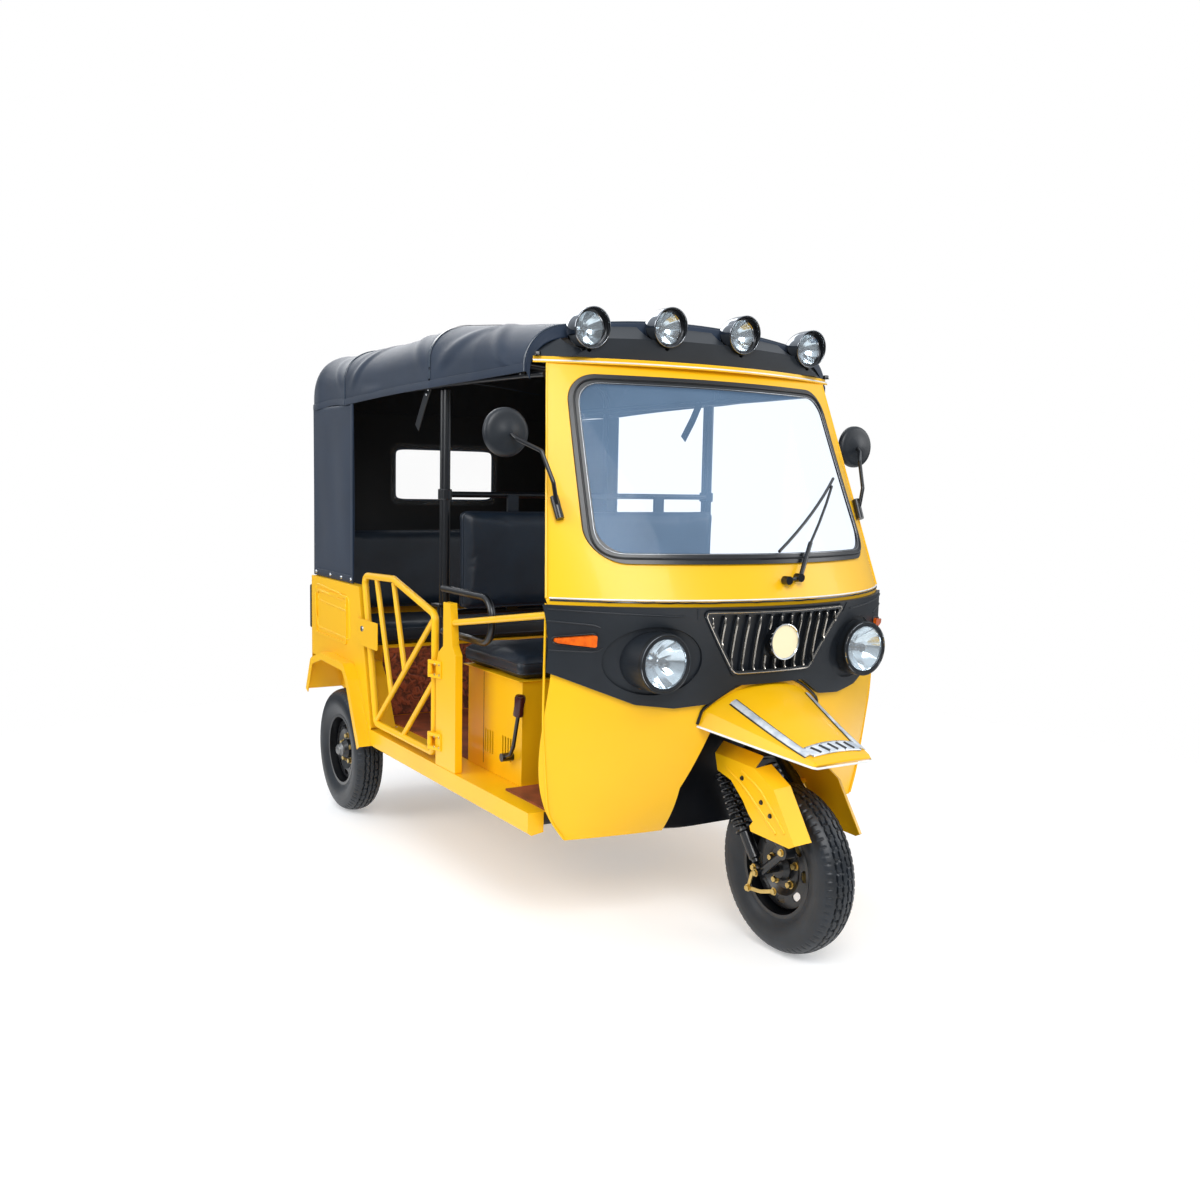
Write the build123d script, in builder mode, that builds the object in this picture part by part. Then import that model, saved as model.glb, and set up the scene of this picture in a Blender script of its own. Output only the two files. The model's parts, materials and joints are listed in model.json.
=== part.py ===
from build123d import *
from math import sqrt
import os

# Auto rickshaw: three-wheeled taxi with a steel cowl, a ladder frame, two low passenger
# gates and a vinyl canopy on tube bows. Millimetres. The vehicle faces -Y, +X is its left,
# +Z is up, and the origin stands on the ground under the middle of its length.

os.makedirs("parts", exist_ok=True)

# --- driving dimensions -------------------------------------------------------------
# wheels
tyre_dia = 480
tyre_width = 112
tyre_wall = 10
rim_flange_dia = 276
rim_seat_dia = 254
rim_width = 82
rim_wall = 3
hub_dia = 74
axle_dia = 20
drum_dia = 190
drum_width = 46
front_axle_y = -1060
wheelbase = 1920
rear_wheel_x = 585
wheel_fit = 0.3

# steering
steering_foot = (0, -880, 560)
steering_top = (0, -700, 1020)
stem_dia = 38
head_tube_dia = 60
head_tube_low = 90
head_tube_high = 215
stem_clearance = 0.4
fork_leg_x = 88
fork_leg_dia = 30
spring_dia = 54
spring_body_dia = 34
spring_cap_dia = 46
spring_wire = 7
spring_turns = 9
cover_outer_x = 121
cover_wall = 2.5
handlebar_half = 330
handlebar_dia = 22
grip_dia = 34

# cowl (plan arcs through the nose and the two door edges)
sheet_wall = 3
cowl_bottom_z = 305
belt_z = 985
cowl_top_z = 1640
well_half_width = 240
well_back_y = -790

# headlamps
headlamp_x = 362
headlamp_z = 824
headlamp_dia = 134
headlamp_rim = 15
headlamp_front_y = -962

# body
floor_z = 372
floor_sheet = 3
mat_thickness = 6
sill_outer_x = 611
sill_inner_x = 560
sill_bottom_z = 305
sill_front_y = -660
sill_rear_y = 572
rail_x = 380
rail_width = 50
rail_height = 60
tub_outer_x = 610
tub_rear_y = 1255
tub_top_z = 893
arch_outer_x = 655
arch_inner_x = 500
arch_lip = 28

# canopy
canopy_wall = 5
canopy_half_width = 595
curtain_half = canopy_half_width - 1
canopy_shoulder_x = 450
bow_dia = 22
soft_gap = 0.5

# gates
gate_x = 600
gate_tube_dia = 25
gate_bar_dia = 19
hinge_x = 622
hinge_y = 2
hinge_pin_dia = 10

# --- derived places -----------------------------------------------------------------
tyre_radius = tyre_dia / 2
axle_z = tyre_radius
rear_axle_y = front_axle_y + wheelbase
rail_top_z = floor_z - floor_sheet
bow_x = curtain_half - canopy_wall - 1 - bow_dia / 2
axis_run = Vector(*steering_top) - Vector(*steering_foot)
steering_dir = axis_run.normalized()
steering_length = axis_run.length
mat_top_z = floor_z + mat_thickness


def section_plane(x, y, z):
    """Upright plane across the vehicle: local x is +X and local y is +Z."""
    return Plane(origin=(x, y, z), x_dir=(1, 0, 0), z_dir=(0, -1, 0))


def side_plane(x):
    """Upright plane along the vehicle at x: local x is +Y, local y is +Z, normal +X."""
    return Plane(origin=(x, 0, 0), x_dir=(0, 1, 0), z_dir=(1, 0, 0))


def steering_plane(height):
    """Plane square to the steering axis, its origin this far above the axis foot."""
    foot = Vector(*steering_foot) + steering_dir * height
    return Plane(origin=foot, x_dir=(1, 0, 0), z_dir=steering_dir)


def bar(points, diameter, bend=0):
    """Round bar along straight runs, with an arc of radius bend at each corner."""
    with BuildPart() as run:
        with BuildLine() as path:
            if bend:
                FilletPolyline(*points, radius=bend)
            else:
                Polyline(*points)
        with BuildSketch(Plane(origin=path.line @ 0, z_dir=path.line % 0)):
            Circle(diameter / 2)
        sweep(transition=Transition.RIGHT)
    return run.part


def plate(plane, outline, thickness, corner=0):
    """Flat plate on a plane, from an outline with rounded corners."""
    with BuildPart() as sheet:
        with BuildSketch(plane) as face:
            Polygon(*outline, align=None)
            if corner:
                fillet(face.vertices(), corner)
        extrude(amount=thickness)
    return sheet.part


def save(piece, name):
    piece.part.label = name
    export_step(piece.part, f"parts/{name}.step")


# --- wheels -------------------------------------------------------------------------
# tyre half profile: radius, half width (crown, shoulder, wall, bead)
def tyre(x, y):
    """Tyre as a revolved carcass, hollow and open at the beads."""
    half = tyre_width / 2
    seat = rim_seat_dia / 2 + rim_wall + wheel_fit
    flange = rim_flange_dia / 2
    bead = rim_width / 2 - rim_wall - wheel_fit
    shoulder_r = tyre_radius - 18
    with BuildPart() as carcass:
        with BuildSketch(section_plane(x, y, axle_z)):
            with BuildLine():
                Line((-bead, seat), (-bead, flange + 4))
                ThreePointArc((-bead, flange + 4), (-half, (flange + shoulder_r) / 2), (-half + 10, shoulder_r))
                ThreePointArc((-half + 10, shoulder_r), (0, tyre_radius), (half - 10, shoulder_r))
                ThreePointArc((half - 10, shoulder_r), (half, (flange + shoulder_r) / 2), (bead, flange + 4))
                Line((bead, flange + 4), (bead, seat))
                Line((bead, seat), (bead - tyre_wall, seat))
                Line((bead - tyre_wall, seat), (bead - tyre_wall, flange + 6))
                ThreePointArc((bead - tyre_wall, flange + 6), (half - tyre_wall, (flange + shoulder_r) / 2),
                              (half - 18, shoulder_r - tyre_wall))
                ThreePointArc((half - 18, shoulder_r - tyre_wall), (0, tyre_radius - tyre_wall),
                              (-half + 18, shoulder_r - tyre_wall))
                ThreePointArc((-half + 18, shoulder_r - tyre_wall), (-half + tyre_wall, (flange + shoulder_r) / 2),
                              (-bead + tyre_wall, flange + 6))
                Line((-bead + tyre_wall, flange + 6), (-bead + tyre_wall, seat))
                Line((-bead + tyre_wall, seat), (-bead, seat))
            make_face()
        revolve(axis=Axis((x, y, axle_z), (1, 0, 0)))
    return carcass


def rim(x, y, side, drum):
    """Pressed rim: barrel, dished disc with vent holes, hub and, at the rear, the brake drum."""
    flange = rim_flange_dia / 2
    seat = rim_seat_dia / 2
    half = rim_width / 2
    disc_x = side * 14
    disc_r = seat - 12
    with BuildPart() as wheel:
        with BuildSketch(section_plane(x, y, axle_z)):
            with BuildLine():
                Polyline((-half, flange), (-half, seat), (half, seat), (half, flange),
                         (half - rim_wall, flange), (half - rim_wall, seat + rim_wall),
                         (-half + rim_wall, seat + rim_wall), (-half + rim_wall, flange), (-half, flange))
            make_face()
            with BuildLine():
                Polyline((disc_x - 18 * side, seat + 1), (disc_x, disc_r), (disc_x + 6 * side, 78),
                         (disc_x - 4 * side, 60), (disc_x - 4 * side, hub_dia / 2 - 1),
                         (disc_x - 8 * side, hub_dia / 2 - 1), (disc_x - 8 * side, 62),
                         (disc_x + 2 * side, 80), (disc_x - 5 * side, disc_r - 1),
                         (disc_x - 24 * side, seat + 1), (disc_x - 18 * side, seat + 1))
            make_face()
            with BuildLine():
                Polyline((-34, axle_dia / 2 + wheel_fit), (34, axle_dia / 2 + wheel_fit), (34, hub_dia / 2 - 10),
                         (20, hub_dia / 2), (-20, hub_dia / 2), (-34, hub_dia / 2 - 10),
                         (-34, axle_dia / 2 + wheel_fit))
            make_face()
        revolve(axis=Axis((x, y, axle_z), (1, 0, 0)))
        if drum:
            with BuildSketch(Plane(origin=(x - side * (half + 8), y, axle_z), z_dir=(side, 0, 0))):
                Circle(drum_dia / 2)
                Circle(axle_dia / 2 + wheel_fit, mode=Mode.SUBTRACT)
            extrude(amount=drum_width)
        with BuildSketch(Plane(origin=(x, y, axle_z), z_dir=(side, 0, 0))):
            with PolarLocations(92, 8):
                SlotOverall(34, 20, rotation=90)
        extrude(amount=half, mode=Mode.SUBTRACT)
    return wheel


# name, x, y, side the disc faces, brake drum
wheels = [
    ("front", 0, front_axle_y, -1, False),
    ("rear_left", rear_wheel_x, rear_axle_y, 1, True),
    ("rear_right", -rear_wheel_x, rear_axle_y, -1, True),
]
for name, x, y, side, drum in wheels:
    save(tyre(x, y), f"{name}_tyre")
    save(rim(x, y, side, drum), f"{name}_rim")

# --- steering -----------------------------------------------------------------------
# link pivot, spring seat and axle as (y, z)
link_pivot = (-1156, 323)
spring_top = (-868, 480)
spring_foot = (-1036, 258)
coil_share = 0.64
axle_point = (front_axle_y, axle_z)

with BuildPart() as fork:
    with BuildSketch(steering_plane(-30)):
        Circle(stem_dia / 2)
    extrude(amount=steering_length + 30 - 10.3)
    add(bar([(-fork_leg_x - 12, -893, 528), (fork_leg_x + 12, -893, 528)], 44))
    for side in (-1, 1):
        add(bar([(side * fork_leg_x, -893, 528), (side * fork_leg_x, *link_pivot)], fork_leg_dia))
        add(bar([(side * fork_leg_x, *link_pivot), (side * fork_leg_x, *axle_point)], 24))
        add(bar([(side * fork_leg_x, *axle_point), (side * fork_leg_x, spring_foot[0] + 6, spring_foot[1] - 8)], 22))
        add(bar([(side * (fork_leg_x - 17), *link_pivot), (side * (fork_leg_x + 17), *link_pivot)], 40))
    add(bar([(-fork_leg_x - 24, *axle_point), (fork_leg_x + 24, *axle_point)], axle_dia))
save(fork, "fork")

spring_line = Vector(0, spring_foot[0] - spring_top[0], spring_foot[1] - spring_top[1])
with BuildPart() as fork_springs:
    for side in (-1, 1):
        seat_top = Plane(origin=(side * fork_leg_x, *spring_top), z_dir=spring_line)
        coil_length = spring_line.length * coil_share
        pitch = (coil_length - 12) / spring_turns
        with BuildSketch(seat_top):
            Circle(9)
        extrude(amount=spring_line.length - 3.8)
        with BuildSketch(seat_top.offset(coil_length + spring_wire)):
            Circle(spring_body_dia / 2)
        extrude(amount=spring_line.length - coil_length - 22)
        with BuildSketch(seat_top.offset(coil_length + 2)):
            Circle(spring_cap_dia / 2)
        extrude(amount=spring_wire)
        for turn in range(spring_turns):
            with BuildSketch(seat_top.offset(12 + turn * pitch)):
                Circle(spring_dia / 2)
            extrude(amount=spring_wire, taper=8)
save(fork_springs, "fork_springs")

# fork cover outline, y and z; the crease carries the bent front flange and the ridge the bent ear
cover_outline = [(-874, 540), (-887, 492), (-950, 477), (-1006, 431), (-1032, 400), (-1052, 384), (-1038, 368),
                 (-1044, 354), (-1204, 350), (-1225, 361), (-1134, 492), (-1053, 533)]
cover_crease = [(-1053, 533), (-1134, 492), (-1225, 361)]
cover_ridge = [(-874, 540), (-1053, 533)]
# fold, y and z it moves by, how far it reaches inwards
cover_folds = [
    (cover_crease, (-27, 14), 36),
    (cover_ridge, (6, 30), 34),
]


def folded_strip(run, step, side, reach):
    """Sheet bent inwards along a run: a ruled band from the cover's face to the same run moved by step."""
    edge = [(y - step[0] / 10, z - step[1] / 10) for y, z in reversed(run)]
    near = list(run) + edge
    with BuildPart() as fold:
        with BuildSketch(side_plane(side * cover_outer_x)):
            Polygon(*near, align=None)
        with BuildSketch(side_plane(side * (cover_outer_x - reach))):
            Polygon(*[(y + step[0], z + step[1]) for y, z in near], align=None)
        loft(ruled=True)
    return fold.part


with BuildPart() as fork_covers:
    leg_face = fork_leg_x + fork_leg_dia / 2 + 0.3
    for side in (-1, 1):
        face_x = side * (cover_outer_x - cover_wall if side > 0 else cover_outer_x)
        add(plate(side_plane(face_x), cover_outline, cover_wall))
        for run, step, reach in cover_folds:
            add(folded_strip(run, step, side, reach))
        for share in (0.36, 0.75):
            y, z = (-893 + (link_pivot[0] + 893) * share, 528 + (link_pivot[1] - 528) * share)
            with BuildSketch(Plane(origin=(side * leg_face, y, z), z_dir=(side, 0, 0))):
                Circle(9)
            extrude(amount=cover_outer_x - cover_wall - leg_face)
save(fork_covers, "fork_covers")

with BuildPart() as handlebar:
    grip_y = steering_top[1] + 52
    grip_z = steering_top[2] + 12
    add(bar([(-handlebar_half, grip_y, grip_z), (-150, steering_top[1], steering_top[2] + 14),
             (150, steering_top[1], steering_top[2] + 14), (handlebar_half, grip_y, grip_z)],
            handlebar_dia, 60))
    for side in (-1, 1):
        end = Vector(side * handlebar_half, grip_y, grip_z)
        inner = Vector(side * 150, steering_top[1], steering_top[2] + 14)
        with BuildSketch(Plane(origin=end, z_dir=inner - end)):
            Circle(grip_dia / 2)
        extrude(amount=118)
    with BuildSketch(steering_plane(steering_length - 10)):
        RectangleRounded(190, 110, 30)
    extrude(amount=58, taper=12)
save(handlebar, "handlebar")

with BuildPart() as brake_plate:
    with BuildSketch(Plane(origin=(rim_width / 2 + 4, *axle_point), z_dir=(1, 0, 0))):
        Circle(84)
        Circle(axle_dia / 2 + wheel_fit, mode=Mode.SUBTRACT)
    extrude(amount=8)
save(brake_plate, "front_brake_plate")

# --- cowl ---------------------------------------------------------------------------
# plan arc: height, nose y, door edge y, door edge half width
cowl_low = [
    (cowl_bottom_z, -800, -740, 538),
    (cowl_bottom_z + 67, -858, -720, 580),
    (640, -940, -735, 610),
    (belt_z, -1008, -746, 612),
]
cowl_high = [
    (belt_z, -1008, -746, 612),
    (cowl_top_z, -655, -556, 515),
]


def cowl_solid(rows, inset, back=0):
    """Loft through D-shaped plan sections, each an arc closed across the door edges."""
    with BuildPart() as nose:
        for height, nose_y, edge_y, half in rows:
            with BuildSketch(Plane.XY.offset(height)):
                with BuildLine():
                    ThreePointArc((-half + inset, edge_y), (0, nose_y + inset), (half - inset, edge_y))
                    if back:
                        Polyline((half - inset, edge_y), (half - inset, edge_y + back),
                                 (-half + inset, edge_y + back), (-half + inset, edge_y))
                    else:
                        Line((half - inset, edge_y), (-half + inset, edge_y))
                make_face()
        loft(ruled=len(rows) == 2)
    return nose.part


def nose_y_at(height):
    """Y of the cowl's centre line at a height, straight between the plan sections."""
    rows = cowl_low[:-1] + cowl_high
    for (z0, y0, *_), (z1, y1, *_) in zip(rows, rows[1:]):
        if height <= z1:
            return y0 + (y1 - y0) * (height - z0) / (z1 - z0)
    return rows[-1][1]


def cowl_y_at(x, height):
    """Y of the cowl's outer face at x and a height above the belt."""
    (z0, nose0, edge0, half0), (z1, nose1, edge1, half1) = cowl_high
    share = (height - z0) / (z1 - z0)
    nose, edge, half = nose0 + (nose1 - nose0) * share, edge0 + (edge1 - edge0) * share, half0 + (half1 - half0) * share
    radius = (half ** 2 + (edge - nose) ** 2) / (2 * (edge - nose))
    return nose + radius - sqrt(radius ** 2 - x ** 2)


glass_outline = [(-512, 1086), (512, 1086), (472, 1608), (-472, 1608)]
glass_corner = 88
arch_outline = [(-well_half_width, 290), (-well_half_width, 450), (-178, 610), (-178, 640),
                (178, 640), (178, 610), (well_half_width, 450), (well_half_width, 290)]
front_plane = section_plane(0, -400, 0)

with BuildPart() as front_cowl:
    add(cowl_solid(cowl_low, 0))
    add(cowl_solid(cowl_high, 0))
    add(cowl_solid(cowl_low, sheet_wall, 40), mode=Mode.SUBTRACT)
    add(cowl_solid(cowl_high, sheet_wall, 40), mode=Mode.SUBTRACT)
    with BuildSketch(front_plane) as window:
        Polygon(*glass_outline, align=None)
        fillet(window.vertices(), glass_corner)
    extrude(amount=800, mode=Mode.SUBTRACT)
    with BuildSketch(front_plane):
        Polygon(*arch_outline, align=None)
        with Locations((-headlamp_x, headlamp_z), (headlamp_x, headlamp_z)):
            Circle(headlamp_dia / 2 + headlamp_rim + 0.5)
    extrude(amount=800, mode=Mode.SUBTRACT)
save(front_cowl, "front_cowl")


def cowl_band(rows, low, high, outline, hole, corner, hole_corner):
    """Piece of a shell between two offsets of the cowl, cut to an outline seen from the front."""
    with BuildPart() as band:
        add(cowl_solid(rows, low))
        add(cowl_solid(rows, high, 40), mode=Mode.SUBTRACT)
        with BuildSketch(front_plane) as frame:
            add(outline_face(outline, corner))
            if hole:
                add(outline_face(hole, hole_corner), mode=Mode.SUBTRACT)
        extrude(amount=800, mode=Mode.INTERSECT)
    return band.part


def outline_face(points, corner):
    with BuildSketch() as face:
        Polygon(*points, align=None)
        fillet(face.vertices(), corner)
    return face.sketch


def grown(points, step):
    """Four-cornered outline moved in or out by step."""
    with BuildSketch() as face:
        Polygon(*points, align=None)
        offset(amount=step, kind=Kind.INTERSECTION)
    return [(v.X, v.Y) for v in face.sketch.faces()[0].outer_wire().order_edges().vertices()]


gasket_width = 28
with BuildPart() as windscreen_gasket:
    add(cowl_band(cowl_high, -8, -soft_gap, glass_outline, grown(glass_outline, -gasket_width), glass_corner,
                  glass_corner - gasket_width + 4))
save(windscreen_gasket, "windscreen_gasket")

with BuildPart() as windscreen_glass:
    add(cowl_band(cowl_high, sheet_wall + 0.5, sheet_wall + 5, grown(glass_outline, 12), None, glass_corner + 10, 0))
save(windscreen_glass, "windscreen_glass")

# --- nose: mask, grille, lamps ------------------------------------------------------
mask_proud = 16
recess_depth = 9
recess_half_width, recess_half_height = 129, 95
grille_top_z = 964
grille_bottom_z = 778
grille_half_top = 258
grille_half_bottom = 140
grille_bars = 13
badge_dia = 92
badge_z = 872
# mask outline seen from the front, right half then mirrored
mask_half = [(121, 748), (205, 698), (300, 690), (402, 702), (500, 742), (640, 800), (640, 973)]
mask_outline = [(-x, z) for x, z in reversed(mask_half)] + mask_half
grille_outline = [(-grille_half_bottom, grille_bottom_z), (grille_half_bottom, grille_bottom_z),
                  (grille_half_top, grille_top_z), (-grille_half_top, grille_top_z)]

with BuildPart() as front_mask:
    add(cowl_band(cowl_low, -mask_proud, -soft_gap, mask_outline, None, 8, 0))
    for side in (-1, 1):
        with BuildSketch(section_plane(side * headlamp_x, -700, headlamp_z)):
            Circle(headlamp_dia / 2 + headlamp_rim + 0.5)
        extrude(amount=500, mode=Mode.SUBTRACT)
    with BuildPart(mode=Mode.PRIVATE) as recess:
        add(cowl_solid(cowl_low, -mask_proud - 1))
        add(cowl_solid(cowl_low, -mask_proud + recess_depth, 40), mode=Mode.SUBTRACT)
        with BuildSketch(front_plane):
            with Locations((-headlamp_x, headlamp_z), (headlamp_x, headlamp_z)):
                Ellipse(recess_half_width, recess_half_height)
        extrude(amount=800, mode=Mode.INTERSECT)
    add(recess.part, mode=Mode.SUBTRACT)
    with BuildSketch(front_plane):
        add(outline_face(grille_outline, 10))
    extrude(amount=800, mode=Mode.SUBTRACT)
save(front_mask, "front_mask")

with BuildPart() as grille:
    add(cowl_band(cowl_low, -mask_proud - 6, -soft_gap, grown(grille_outline, -0.8),
                  grown(grille_outline, -12), 10, 6))
    bar_pitch = 2 * grille_half_top / (grille_bars + 1)
    with BuildPart(mode=Mode.PRIVATE) as slats:
        with BuildSketch(front_plane):
            for index in range(grille_bars):
                x = (index - (grille_bars - 1) / 2) * bar_pitch
                run = (abs(x) - grille_half_bottom) / (grille_half_top - grille_half_bottom)
                foot = grille_bottom_z + max(0, run) * (grille_top_z - grille_bottom_z)
                with Locations((x, (foot + grille_top_z) / 2)):
                    Rectangle(10, grille_top_z - foot)
            add(outline_face(grown(grille_outline, -6), 6), mode=Mode.INTERSECT)
        extrude(amount=800)
    add(cowl_solid(cowl_low, -mask_proud).cut(cowl_solid(cowl_low, -2, 40)).intersect(slats.part))
    add(cowl_band(cowl_low, -3, -soft_gap, grown(grille_outline, -6), None, 8, 0))
save(grille, "grille")

with BuildPart() as grille_badge:
    with BuildSketch(section_plane(0, nose_y_at(badge_z), badge_z)):
        Circle(badge_dia / 2)
    extrude(amount=mask_proud + 16)
    add(cowl_solid(cowl_low, -mask_proud - 0.3, 40), mode=Mode.SUBTRACT)
save(grille_badge, "grille_badge")

with BuildPart() as headlamps:
    for side in (-1, 1):
        seat = section_plane(side * headlamp_x, headlamp_front_y + 112, headlamp_z)
        with BuildSketch(seat):
            Circle(headlamp_dia / 2 + headlamp_rim)
            Circle(headlamp_dia / 2, mode=Mode.SUBTRACT)
        extrude(amount=112)
        with BuildSketch(seat):
            Circle(headlamp_dia / 2 + headlamp_rim)
        extrude(amount=3)
save(headlamps, "headlamps")

with BuildPart() as headlamp_lenses:
    for side in (-1, 1):
        with BuildSketch(section_plane(side * headlamp_x, headlamp_front_y + 16, headlamp_z)):
            Circle(headlamp_dia / 2 - 0.3)
        extrude(amount=14, taper=12)
save(headlamp_lenses, "headlamp_lenses")

with BuildPart() as indicators:
    for side in (-1, 1):
        with BuildSketch(section_plane(0, -600, 0)):
            add(outline_face([(side * 512, 862), (side * 600, 872), (side * 600, 884), (side * 512, 896)], 5))
        extrude(amount=400)
    add(cowl_solid(cowl_low, -mask_proud - 18), mode=Mode.INTERSECT)
    add(cowl_solid(cowl_low, -mask_proud - soft_gap, 40), mode=Mode.SUBTRACT)
save(indicators, "indicators")

# --- wheel well and beak ------------------------------------------------------------
well_profile = [(-1060, 654), (-868, 654), (well_back_y, 575), (well_back_y, 290), (-1060, 290)]
with BuildPart() as wheel_well:
    with BuildSketch(side_plane(-well_half_width - sheet_wall)):
        Polygon(*well_profile, align=None)
    extrude(amount=2 * (well_half_width + sheet_wall))
    add(cowl_solid(cowl_low, sheet_wall + soft_gap), mode=Mode.INTERSECT)
    with BuildSketch(side_plane(-well_half_width)):
        Polygon((-1100, 651), (-869, 651), (well_back_y - 3, 574), (well_back_y - 3, 280), (-1100, 280),
                align=None)
    extrude(amount=2 * well_half_width, mode=Mode.SUBTRACT)
    with BuildSketch(steering_plane(0)):
        Circle(head_tube_dia / 2 + 4)
    extrude(amount=200, mode=Mode.SUBTRACT)
save(wheel_well, "wheel_well")

# beak sections: y, low half width, low z, corner half width, corner z, crown z
beak_rows = [(-900, 222, 634, 208, 684, 771), (-1262, 105, 579, 97, 594, 598)]


def beak_solid(inset, drop):
    with BuildPart() as hood:
        for y, low_x, low_z, corner_x, corner_z, crown_z in beak_rows:
            with BuildSketch(section_plane(0, y, 0)):
                with BuildLine():
                    Polyline((-corner_x + inset, corner_z - inset / 2), (-low_x + inset, low_z - drop),
                             (low_x - inset, low_z - drop), (corner_x - inset, corner_z - inset / 2))
                    ThreePointArc((corner_x - inset, corner_z - inset / 2), (0, crown_z - inset),
                                  (-corner_x + inset, corner_z - inset / 2))
                make_face()
        loft(ruled=True)
    return hood.part


with BuildPart() as front_mudguard:
    add(beak_solid(0, 0))
    with BuildSketch(section_plane(0, -1262, 0)):
        with BuildLine():
            Polyline((-97, 594), (-105, 579), (105, 579), (97, 594))
            ThreePointArc((97, 594), (0, 598), (-97, 594))
        make_face()
    extrude(amount=12, taper=30)
    add(beak_solid(sheet_wall, 6), mode=Mode.SUBTRACT)
    add(cowl_solid(cowl_low, -soft_gap, 40), mode=Mode.SUBTRACT)
save(front_mudguard, "front_mudguard")

# --- roof edge and roof lamps -------------------------------------------------------
visor_proud = 12
visor_rise = 14
lamp_board_y = -606
with BuildPart() as roof_visor:
    with BuildSketch(Plane.XY.offset(cowl_top_z + soft_gap)):
        with BuildLine():
            ThreePointArc((-549, -536), (0, -655 - visor_proud), (549, -536))
            Line((549, -536), (-549, -536))
        make_face()
    extrude(amount=visor_rise)
    with BuildSketch(Plane.XY.offset(cowl_top_z - 5)):
        with BuildLine():
            ThreePointArc((-530, -530), (0, -655 + 6), (530, -530))
            Line((530, -530), (-530, -530))
        make_face()
    extrude(amount=12, mode=Mode.SUBTRACT)
save(roof_visor, "roof_visor")

visor_top_z = cowl_top_z + soft_gap + visor_rise
lamp_rows = [(-406, 1736), (-138, 1758), (138, 1758), (406, 1736)]
roof_lamp_dia = 115
roof_lamp_depth = 116
roof_lamp_wall = 3
roof_lamp_lens_dia = 90
hood_reach = 26
lamp_lens_y = lamp_board_y - 4
# roof cap behind the lamp board: y, half width, foot z, shoulder half width, shoulder z, crown z
cap_rows = [
    (lamp_board_y + 11, 453, 352, 1712, 1724),
    (-510.6, 558, 446, 1748, 1782),
]
def cap_solid(wall):
    with BuildPart() as cap:
        for y, foot_half, shoulder_half, shoulder, crown in cap_rows:
            foot_z = visor_top_z + 0.3 - wall
            with BuildSketch(section_plane(0, y, 0)):
                with BuildLine():
                    Polyline((-shoulder_half + wall, shoulder - wall), (-foot_half + wall, foot_z),
                             (foot_half - wall, foot_z), (shoulder_half - wall, shoulder - wall))
                    ThreePointArc((shoulder_half - wall, shoulder - wall), (0, crown - wall),
                                  (-shoulder_half + wall, shoulder - wall))
                make_face()
        loft(ruled=True)
    return cap.part


with BuildPart() as lamp_board:
    with BuildSketch(section_plane(0, lamp_board_y + 12, 0)):
        with BuildLine():
            Polyline((-352, 1712), (-453, visor_top_z + 0.3), (453, visor_top_z + 0.3), (352, 1712))
            ThreePointArc((352, 1712), (0, 1724), (-352, 1712))
        make_face()
    extrude(amount=12)
    add(cap_solid(0).cut(cap_solid(3)))
    for x, z in lamp_rows:
        with BuildSketch(section_plane(x, 0, z)):
            Circle(roof_lamp_dia / 2 + 1)
        extrude(amount=800, mode=Mode.SUBTRACT)
        with BuildSketch(Plane.XY.offset(visor_top_z + 0.3)):
            with Locations((x, lamp_board_y + 24)):
                Rectangle(36, 26)
        extrude(amount=z - roof_lamp_dia / 2 - visor_top_z - 0.6)
save(lamp_board, "lamp_board")


def bullet(radius, depth, x, z):
    """Blunt bullet turned about the lamp's own axis, its mouth facing forwards."""
    mouth_y = lamp_lens_y - hood_reach
    with BuildPart() as turned:
        with BuildSketch(side_plane(x)):
            with BuildLine():
                Line((mouth_y, z), (mouth_y, z + radius))
                Line((mouth_y, z + radius), (mouth_y + 0.3 * depth, z + radius))
                Spline((mouth_y + 0.3 * depth, z + radius), (mouth_y + 0.82 * depth, z + 0.64 * radius),
                       (mouth_y + depth, z), tangents=((1, 0), (0, -1)))
                Line((mouth_y + depth, z), (mouth_y, z))
            make_face()
        revolve(axis=Axis((x, 0, z), (0, 1, 0)))
    return turned.part


with BuildPart() as roof_lamps:
    for x, z in lamp_rows:
        radius = roof_lamp_dia / 2
        mouth_y = lamp_lens_y - hood_reach
        add(bullet(radius, roof_lamp_depth, x, z))
        with BuildSketch(section_plane(x, lamp_lens_y + 30, z)):
            Circle(radius - roof_lamp_wall)
        extrude(amount=100, mode=Mode.SUBTRACT)
        with BuildSketch(side_plane(x - radius - 2)):
            Polygon((mouth_y - 2, z + radius), (mouth_y - 2, z - radius - 2), (lamp_lens_y - 8, z - radius - 2),
                    (mouth_y, z + radius), align=None)
        extrude(amount=2 * radius + 4, mode=Mode.SUBTRACT)
save(roof_lamps, "roof_lamps")

with BuildPart() as roof_lamp_lenses:
    for x, z in lamp_rows:
        with BuildSketch(section_plane(x, lamp_lens_y + 29.7, z)):
            Circle(roof_lamp_dia / 2 - roof_lamp_wall - 0.3)
        extrude(amount=16)
        with BuildSketch(section_plane(x, lamp_lens_y + 13.7, z)):
            Circle(roof_lamp_lens_dia / 2)
        extrude(amount=10, taper=20)
save(roof_lamp_lenses, "roof_lamp_lenses")

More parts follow.
